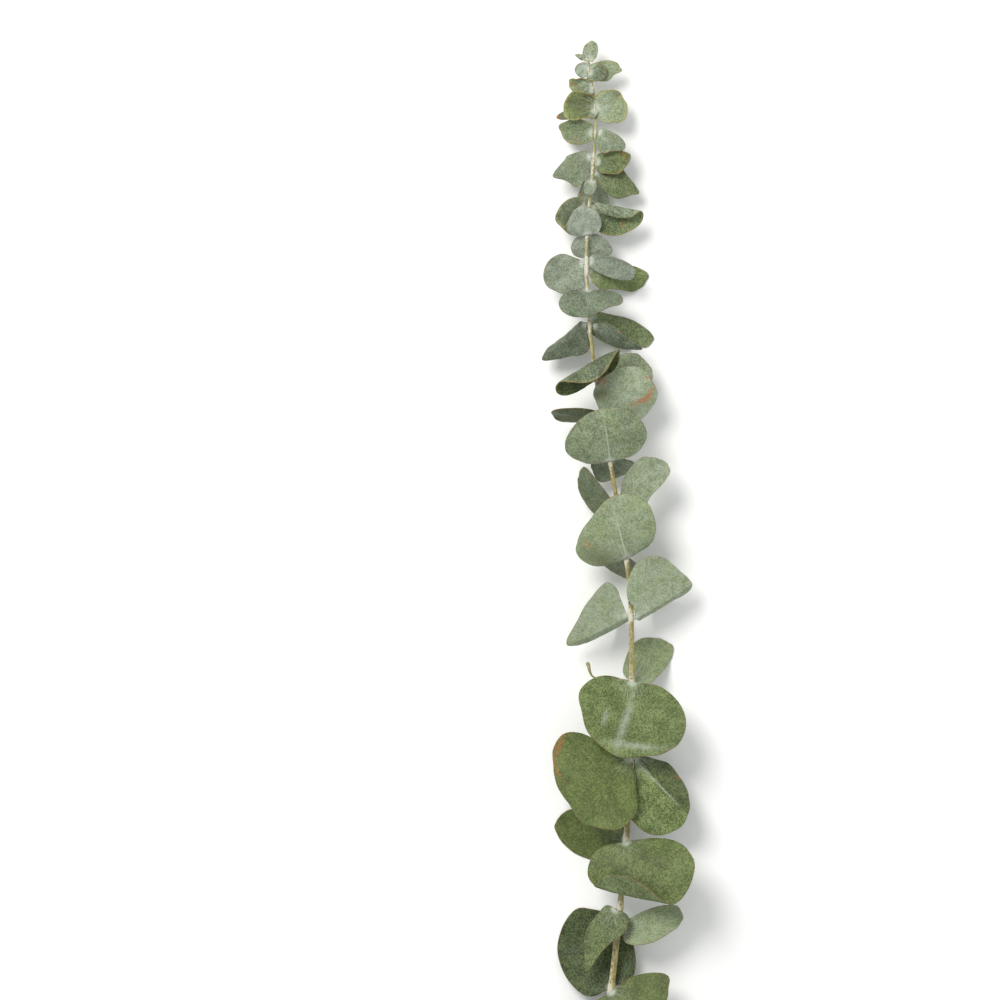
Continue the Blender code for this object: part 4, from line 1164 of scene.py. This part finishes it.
def bark_finish(name, look):
    """Young eucalyptus bark: ochre, streaked lengthwise, with white wax rubbed off in patches.

    The eye gets a thin chalky coat over gold and brown, thickest round each pair of leaves, with the stem's
    left side drawn whiter than its right, and thin again on the greener bark near the tip.
    """
    finish, tree, shader = new_finish(name, 0.6, 0.35)
    pattern = add(tree, "Attribute", attribute_name="pattern").outputs["Vector"]
    sideways = add(tree, "SeparateXYZ", {0: pattern}).outputs[0]
    node, length = (add(tree, "Attribute", attribute_name=kind).outputs["Fac"] for kind in ("node", "height"))

    # Streaks 1.5 mm wide and 5 mm long, and brown flecks 0.6 mm wide and 1.9 mm long.
    streaked = add(tree, "VectorMath", {0: pattern, 1: (1, 1, 0.3)}, **PRODUCT)
    streak = {"Vector": streaked, "Scale": BARK_STREAKS, "Detail": 3.0, "Roughness": 0.6}
    broad = add(tree, "TexNoise", streak)
    fleck = {"Vector": streaked, "Scale": BARK_FLECKS, "Detail": 3.0, "Roughness": 0.65}
    fine = add(tree, "TexNoise", fleck)
    lighter = add(tree, "MapRange", {READ: broad, START: 0.35, STOP: 0.65}, **SMOOTH)
    younger = add(tree, "MapRange", {READ: length, START: 0.45, STOP: 0.62, HIGH: 0.6}, **SMOOTH)
    flecked = add(tree, "MapRange", {READ: fine, START: 0.56, STOP: 0.68, HIGH: 0.7}, **SMOOTH)

    # Wax in broken specks 0.9 mm wide and 1.5 mm long, more of it at the joints, and the stem's left side
    # drawn whiter than its right.
    squeezed = add(tree, "VectorMath", {0: pattern, 1: (1, 1, 0.6)}, **PRODUCT)
    specks = add(tree, "TexNoise", {"Vector": squeezed, "Scale": WAX_SPECKS, "Detail": 4.0, "Roughness": 0.8})
    side = add(tree, "MapRange", {READ: sideways, START: -1.8, STOP: 1.2, LOW: 0.08, HIGH: -0.12})
    bare = add(tree, "MapRange", {READ: length, START: 0.53, STOP: 0.61, HIGH: -0.10})
    side = add(tree, "Math", {0: side, 1: bare}, **SUM)
    thicker = add(tree, "Math", {0: node, 1: 0.2, 2: side}, **SUM_OF_PRODUCT)
    specks = add(tree, "Math", {0: specks, 1: thicker}, **SUM)
    wax = add(tree, "MapRange", {READ: specks, START: 0.51, STOP: 0.62, HIGH: 0.85}, **SMOOTH)

    skin = look.bark_dark
    layers = (
        (lighter, look.bark_light),
        (younger, look.bark_tip),
        (flecked, look.bark_fleck),
        (wax, look.bark_wax),
    )
    for amount, paint in layers:
        skin = add(tree, "Mix", {HOW_MUCH: amount, BELOW: skin, ABOVE: paint}, **COLOURS)
    height = add(tree, "Math", {0: fine, 1: 0.6, 2: wax}, **SUM_OF_PRODUCT)
    bump = add(tree, "Bump", {"Strength": 0.5, "Distance": 0.00015, "Height": height})
    roughness = add(tree, "MapRange", {READ: wax, LOW: 0.5, HIGH: 0.8})
    feed(tree, shader, {"Base Color": skin, "Roughness": roughness, "Normal": bump})
    return finish


def cut_wood_finish(name, look):
    """Green wood cut with secateurs and dried.

    The eye gets a pale matt face with a darker pith, growth rings and a thin line of bark round it.
    """
    finish, tree, shader = new_finish(name, 0.75, 0.25)
    pattern = add(tree, "Attribute", attribute_name="pattern").outputs["Vector"]
    flat = add(tree, "VectorMath", {0: pattern, 1: (1, 1, 0)}, **PRODUCT)
    reach = add(tree, "VectorMath", {0: flat}, operation="LENGTH").outputs["Value"]
    wander = add(tree, "TexNoise", {"Vector": flat, "Scale": RING_WANDER, "Detail": 3.0})
    ringed = add(tree, "Math", {0: wander, 1: 0.35, 2: reach}, **SUM_OF_PRODUCT)
    # Rings 0.44 mm apart, the pith 0.9 mm across, and bark from 1.8 mm out.
    rings = add(tree, "Math", {0: ringed, 1: 0.22}, **ZIGZAG)
    ring = add(tree, "MapRange", {READ: rings, START: 0.02, STOP: 0.2}, **SMOOTH)
    pith = add(tree, "MapRange", {READ: ringed, START: 0.75, STOP: 0.45}, **SMOOTH)
    bark = add(tree, "MapRange", {READ: reach, START: 1.75, STOP: 1.95}, **SMOOTH)
    skin = look.wood
    for amount, paint in ((ring, look.wood_ring), (pith, look.pith), (bark, look.bark_dark)):
        skin = add(tree, "Mix", {HOW_MUCH: amount, BELOW: skin, ABOVE: paint}, **COLOURS)
    bump = add(tree, "Bump", {"Strength": 0.4, "Distance": 0.0001, "Height": wander})
    feed(tree, shader, {"Base Color": skin, "Normal": bump})
    return finish


def floor_finish(name, look):
    """Matt coated paper, which gives the eye an even pale ground with only a very fine tooth."""
    finish, tree, shader = new_finish(name, 0.85, 0.2)
    place = add(tree, "TexCoord").outputs["Object"]
    tooth = add(tree, "TexNoise", {"Vector": place, "Scale": PAPER_TOOTH, "Detail": 2.0})
    ground = add(tree, "Mix", {HOW_MUCH: tooth, BELOW: look.floor, ABOVE: look.floor_tooth}, **COLOURS)
    feed(tree, shader, {"Base Color": ground})
    return finish


def made_once(name, make, *details):
    """The material with this name, made when it is first asked for."""
    return bpy.data.materials.get(name) or make(name, *details)


def blade_finishes(look):
    """The finishes of a leaf's upper face and underside."""
    return [
        made_once("waxed_leaf_upper_face", blade_finish, look, look.upper_dark, look.upper_light, 1.0),
        made_once("waxed_leaf_underside", blade_finish, look, look.under_dark, look.under_light, 1.1),
    ]


def colour(name, code, description):
    """A property that holds a colour, its default given as sRGB hex."""
    return FloatVectorProperty(
        name=name, description=description, subtype="COLOR", size=4, min=0, max=1, default=linear(code)
    )


def size(name, default, description):
    """A property that holds a length in metres."""
    return FloatProperty(
        name=name, description=description, default=default, min=0, unit="LENGTH", precision=5
    )


class BladeSettings(bpy.types.PropertyGroup):
    thickness: size("Thickness", 0.0006, "Thickness of a blade between its ribs")
    edge_radius: size("Edge radius", 0.00045, "How far in from its edge a blade starts to round off")
    rib_height: size("Rib height", 0.00032, "How far the midrib stands out of the underside at its base")
    waviness: size("Waviness", 0.0006, "How deep the waves of a blade are")
    tip_waviness: size("Waviness at the tip", 0.0011, "How deep the waves of the young blades at the tip are")
    unevenness: FloatProperty(
        name="Unevenness",
        description="How far the outline strays, as a share of its reach",
        default=0.014,
        min=0,
    )
    rings: IntProperty(
        name="Rings", description="Rings of a large blade between stalk and edge", default=34, min=6
    )
    spokes: IntProperty(
        name="Spokes", description="Lines of a large blade from stalk to edge", default=96, min=16
    )


class ColourSettings(bpy.types.PropertyGroup):
    upper_dark: colour("Upper face, dark", "#475631", "Deeper green of a leaf's upper face")
    upper_light: colour("Upper face, light", "#6A784D", "Lighter green of a leaf's upper face")
    under_dark: colour("Underside, dark", "#5F6B51", "Deeper grey-green of a leaf's underside")
    under_light: colour("Underside, light", "#818D72", "Lighter grey-green of a leaf's underside")
    warm_green: colour("Olive green", "#66743B", "Green of the older and of the youngest leaves")
    cool_green: colour("Blue-green", "#626D68", "Green of the leaves under thick bloom")
    bloom: colour("Bloom", "#A2AB99", "Powdery wax on the leaves")
    vein: colour("Veins", "#9CA078", "Midrib and side veins")
    stalk_wax: colour("Stalk wax", "#B9C0B2", "White wax where a leaf meets the stem")
    margin: colour("Margin", "#9C9A5E", "Yellowed band along the edge of some leaves")
    # Colour of the shade marks: painted shade on some leaves, and a dark stain on others.
    dark_stain_and_painted_shade: colour("Dark stains and painted shade", "#55573F", "Dark patches where the bloom is bruised")
    rust: colour("Rust", "#A4673B", "Orange-brown spots and smears of the older leaves")
    rim: colour("Rim", "#85583E", "Thin dry line along a leaf's edge")
    bark_dark: colour("Bark, dark", "#7C7142", "Deeper ochre of the bark")
    bark_light: colour("Bark, light", "#A69B60", "Lighter ochre of the bark")
    bark_tip: colour("Bark, young", "#9AA06A", "Greener bark near the growing tip")
    bark_fleck: colour("Bark flecks", "#5E4E2E", "Brown flecks in the bark")
    bark_wax: colour("Bark wax", "#CDCAB6", "White wax on the bark")
    wood: colour("Cut wood", "#D8C79E", "Pale wood of the cut end")
    wood_ring: colour("Wood rings", "#B79C67", "Rings of the cut end")
    pith: colour("Pith", "#8A6A43", "Pith in the middle of the cut end")
    floor: colour("Floor", "#F4F4F2", "Plain pale floor")
    floor_tooth: colour("Floor tooth", "#F8F8F6", "High spots of the floor")


class StageSettings(bpy.types.PropertyGroup):
    camera_height: size("Camera height", 2.0, "Height of the camera above the branch")
    view_width: size("View width", 0.55, "Width that the camera sees at the stem")
    key_power: FloatProperty(
        name="Key light", description="Power of the large soft light", default=28.0, min=0
    )
    sky: FloatProperty(
        name="Sky", description="Strength of the even light from all round", default=0.75, min=0
    )


class EUCALYPTUS_OT_leaves(bpy.types.Operator):
    """Make the forty-two leaves, each in place of its solid"""

    bl_idname = "eucalyptus.leaves"
    bl_label = "Leaves"

    def execute(self, context):
        settings = context.scene.eucalyptus_blade
        finishes = blade_finishes(context.scene.eucalyptus_colours)
        for number, (name, leaf) in enumerate(LEAVES.items()):
            # A blade of 27.5 mm or longer gets the full grid, and a smaller one a coarser grid.
            share = min(1.0, 0.45 + 20 * leaf.length)
            detail = (round(settings.rings * share), round(settings.spokes * share))
            arrays = blade_arrays(leaf, number, settings, detail, LOOKS[name], MARKS.get(name, ()))
            piece = mesh_object("blade" + name.removeprefix("leaf"), arrays, finishes)
            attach(piece, "root")
            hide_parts(name)
        return {"FINISHED"}


class EUCALYPTUS_OT_tip(bpy.types.Operator):
    """Make the small leaves of the growing tip as one piece"""

    bl_idname = "eucalyptus.tip"
    bl_label = "Growing tip"

    def execute(self, context):
        settings = context.scene.eucalyptus_blade
        blades = []
        for number, (leaf, look) in enumerate(zip(TIP_LEAVES, TIP_LOOKS, strict=True)):
            marks = MARKS.get(f"tip_{number:02d}", ())
            blades.append(blade_arrays(leaf, number + 0.5, settings, TIP_DETAIL, look, marks, sunk=True))
        vertices, faces, slots, values = zip(*blades)
        starts = itertools.accumulate(map(len, vertices[:-1]), initial=0)
        shifted = []
        for start, part in zip(starts, faces, strict=True):
            shifted += [[v + start for v in face] for face in part]
        joined = {title: np.concatenate([part[title] for part in values]) for title in values[0]}
        arrays = (np.concatenate(vertices), shifted, np.concatenate(slots), joined)
        piece = mesh_object("tip_leaves", arrays, blade_finishes(context.scene.eucalyptus_colours))
        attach(piece, "root")
        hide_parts("stem")
        return {"FINISHED"}


class EUCALYPTUS_OT_stem(bpy.types.Operator):
    """Make the stem with its swollen joints, leaf scars and slanted cut end"""

    bl_idname = "eucalyptus.stem"
    bl_label = "Stem"

    def execute(self, context):
        look = context.scene.eucalyptus_colours
        finishes = [
            made_once("waxed_young_bark", bark_finish, look),
            made_once("cut_green_wood", cut_wood_finish, look),
        ]
        piece = mesh_object("bark", bark_arrays(), finishes)
        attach(piece, "root")
        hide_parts("stem")
        return {"FINISHED"}


class EUCALYPTUS_OT_twig(bpy.types.Operator):
    """Make the short bare twig with its bud"""

    bl_idname = "eucalyptus.twig"
    bl_label = "Bud twig"

    def execute(self, context):
        finish = made_once("waxed_young_bark", bark_finish, context.scene.eucalyptus_colours)
        piece = mesh_object("twig", twig_arrays(), [finish])
        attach(piece, "root")
        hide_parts("stem")
        return {"FINISHED"}


class EUCALYPTUS_OT_stage(bpy.types.Operator):
    """Lay the pale floor, hang the soft lights and set the camera"""

    bl_idname = "eucalyptus.stage"
    bl_label = "Stage"

    def execute(self, context):
        scene = context.scene
        settings = scene.eucalyptus_stage
        mesh = bpy.data.meshes.new("floor")
        turns = ((-1, -1), (1, -1), (1, 1), (-1, 1))
        corners = [(x * FLOOR_REACH, y * FLOOR_REACH, -FLOOR_DROP) for x, y in turns]
        mesh.from_pydata(corners, [], [(0, 1, 2, 3)])
        mesh.materials.append(made_once("matt_coated_paper", floor_finish, scene.eucalyptus_colours))
        floor = bpy.data.objects.new("floor", mesh)
        scene.collection.objects.link(floor)

        world = bpy.data.worlds.new("even_light")
        world.use_nodes = True
        sky = world.node_tree.nodes["Background"]
        feed(world.node_tree, sky, {"Color": SKY_COLOUR, "Strength": settings.sky})
        scene.world = world
        lamp = bpy.data.lights.new("key_light", "AREA")
        lamp.shape = "DISK"
        lamp.size = KEY_WIDTH
        lamp.energy = settings.key_power
        lamp.color = KEY_COLOUR
        key = bpy.data.objects.new("key_light", lamp)
        key.location = KEY_PLACE
        key.rotation_euler = (mathutils.Vector(KEY_TARGET) - key.location).to_track_quat("-Z", "Y").to_euler()
        scene.collection.objects.link(key)

        lens = bpy.data.cameras.new("camera")
        lens.sensor_width = SENSOR_MM
        lens.lens = SENSOR_MM * settings.camera_height / settings.view_width
        lens.clip_end = VIEW_REACH
        camera = bpy.data.objects.new("camera", lens)
        x, y, z = VIEW_CENTRE
        camera.location = (x, y, z + settings.camera_height)
        scene.collection.objects.link(camera)
        scene.camera = camera
        scene.view_settings.view_transform = "Standard"
        return {"FINISHED"}


class EUCALYPTUS_PT_sidebar(bpy.types.Panel):
    bl_label = "Eucalyptus Branch"
    bl_idname = "EUCALYPTUS_PT_sidebar"
    bl_space_type = "VIEW_3D"
    bl_region_type = "UI"
    bl_category = "Eucalyptus"

    def draw(self, context):
        scene = context.scene
        for group in (scene.eucalyptus_blade, scene.eucalyptus_colours, scene.eucalyptus_stage):
            box = self.layout.box()
            for name in group.__annotations__:
                box.prop(group, name)
        for operator in OPERATORS:
            self.layout.operator(operator.bl_idname)


GROUPS = {
    "eucalyptus_blade": BladeSettings,
    "eucalyptus_colours": ColourSettings,
    "eucalyptus_stage": StageSettings,
}
OPERATORS = (
    EUCALYPTUS_OT_stem,
    EUCALYPTUS_OT_leaves,
    EUCALYPTUS_OT_tip,
    EUCALYPTUS_OT_twig,
    EUCALYPTUS_OT_stage,
)


def register():
    for cls in (*GROUPS.values(), *OPERATORS, EUCALYPTUS_PT_sidebar):
        bpy.utils.register_class(cls)
    for name, group in GROUPS.items():
        setattr(bpy.types.Scene, name, PointerProperty(type=group))


def unregister():
    for name in GROUPS:
        delattr(bpy.types.Scene, name)
    for cls in (EUCALYPTUS_PT_sidebar, *reversed(OPERATORS), *GROUPS.values()):
        bpy.utils.unregister_class(cls)


def main():
    register()
    bpy.ops.eucalyptus.stem()
    bpy.ops.eucalyptus.leaves()
    bpy.ops.eucalyptus.tip()
    bpy.ops.eucalyptus.twig()
    bpy.ops.eucalyptus.stage()


if __name__ == "__main__":
    main()
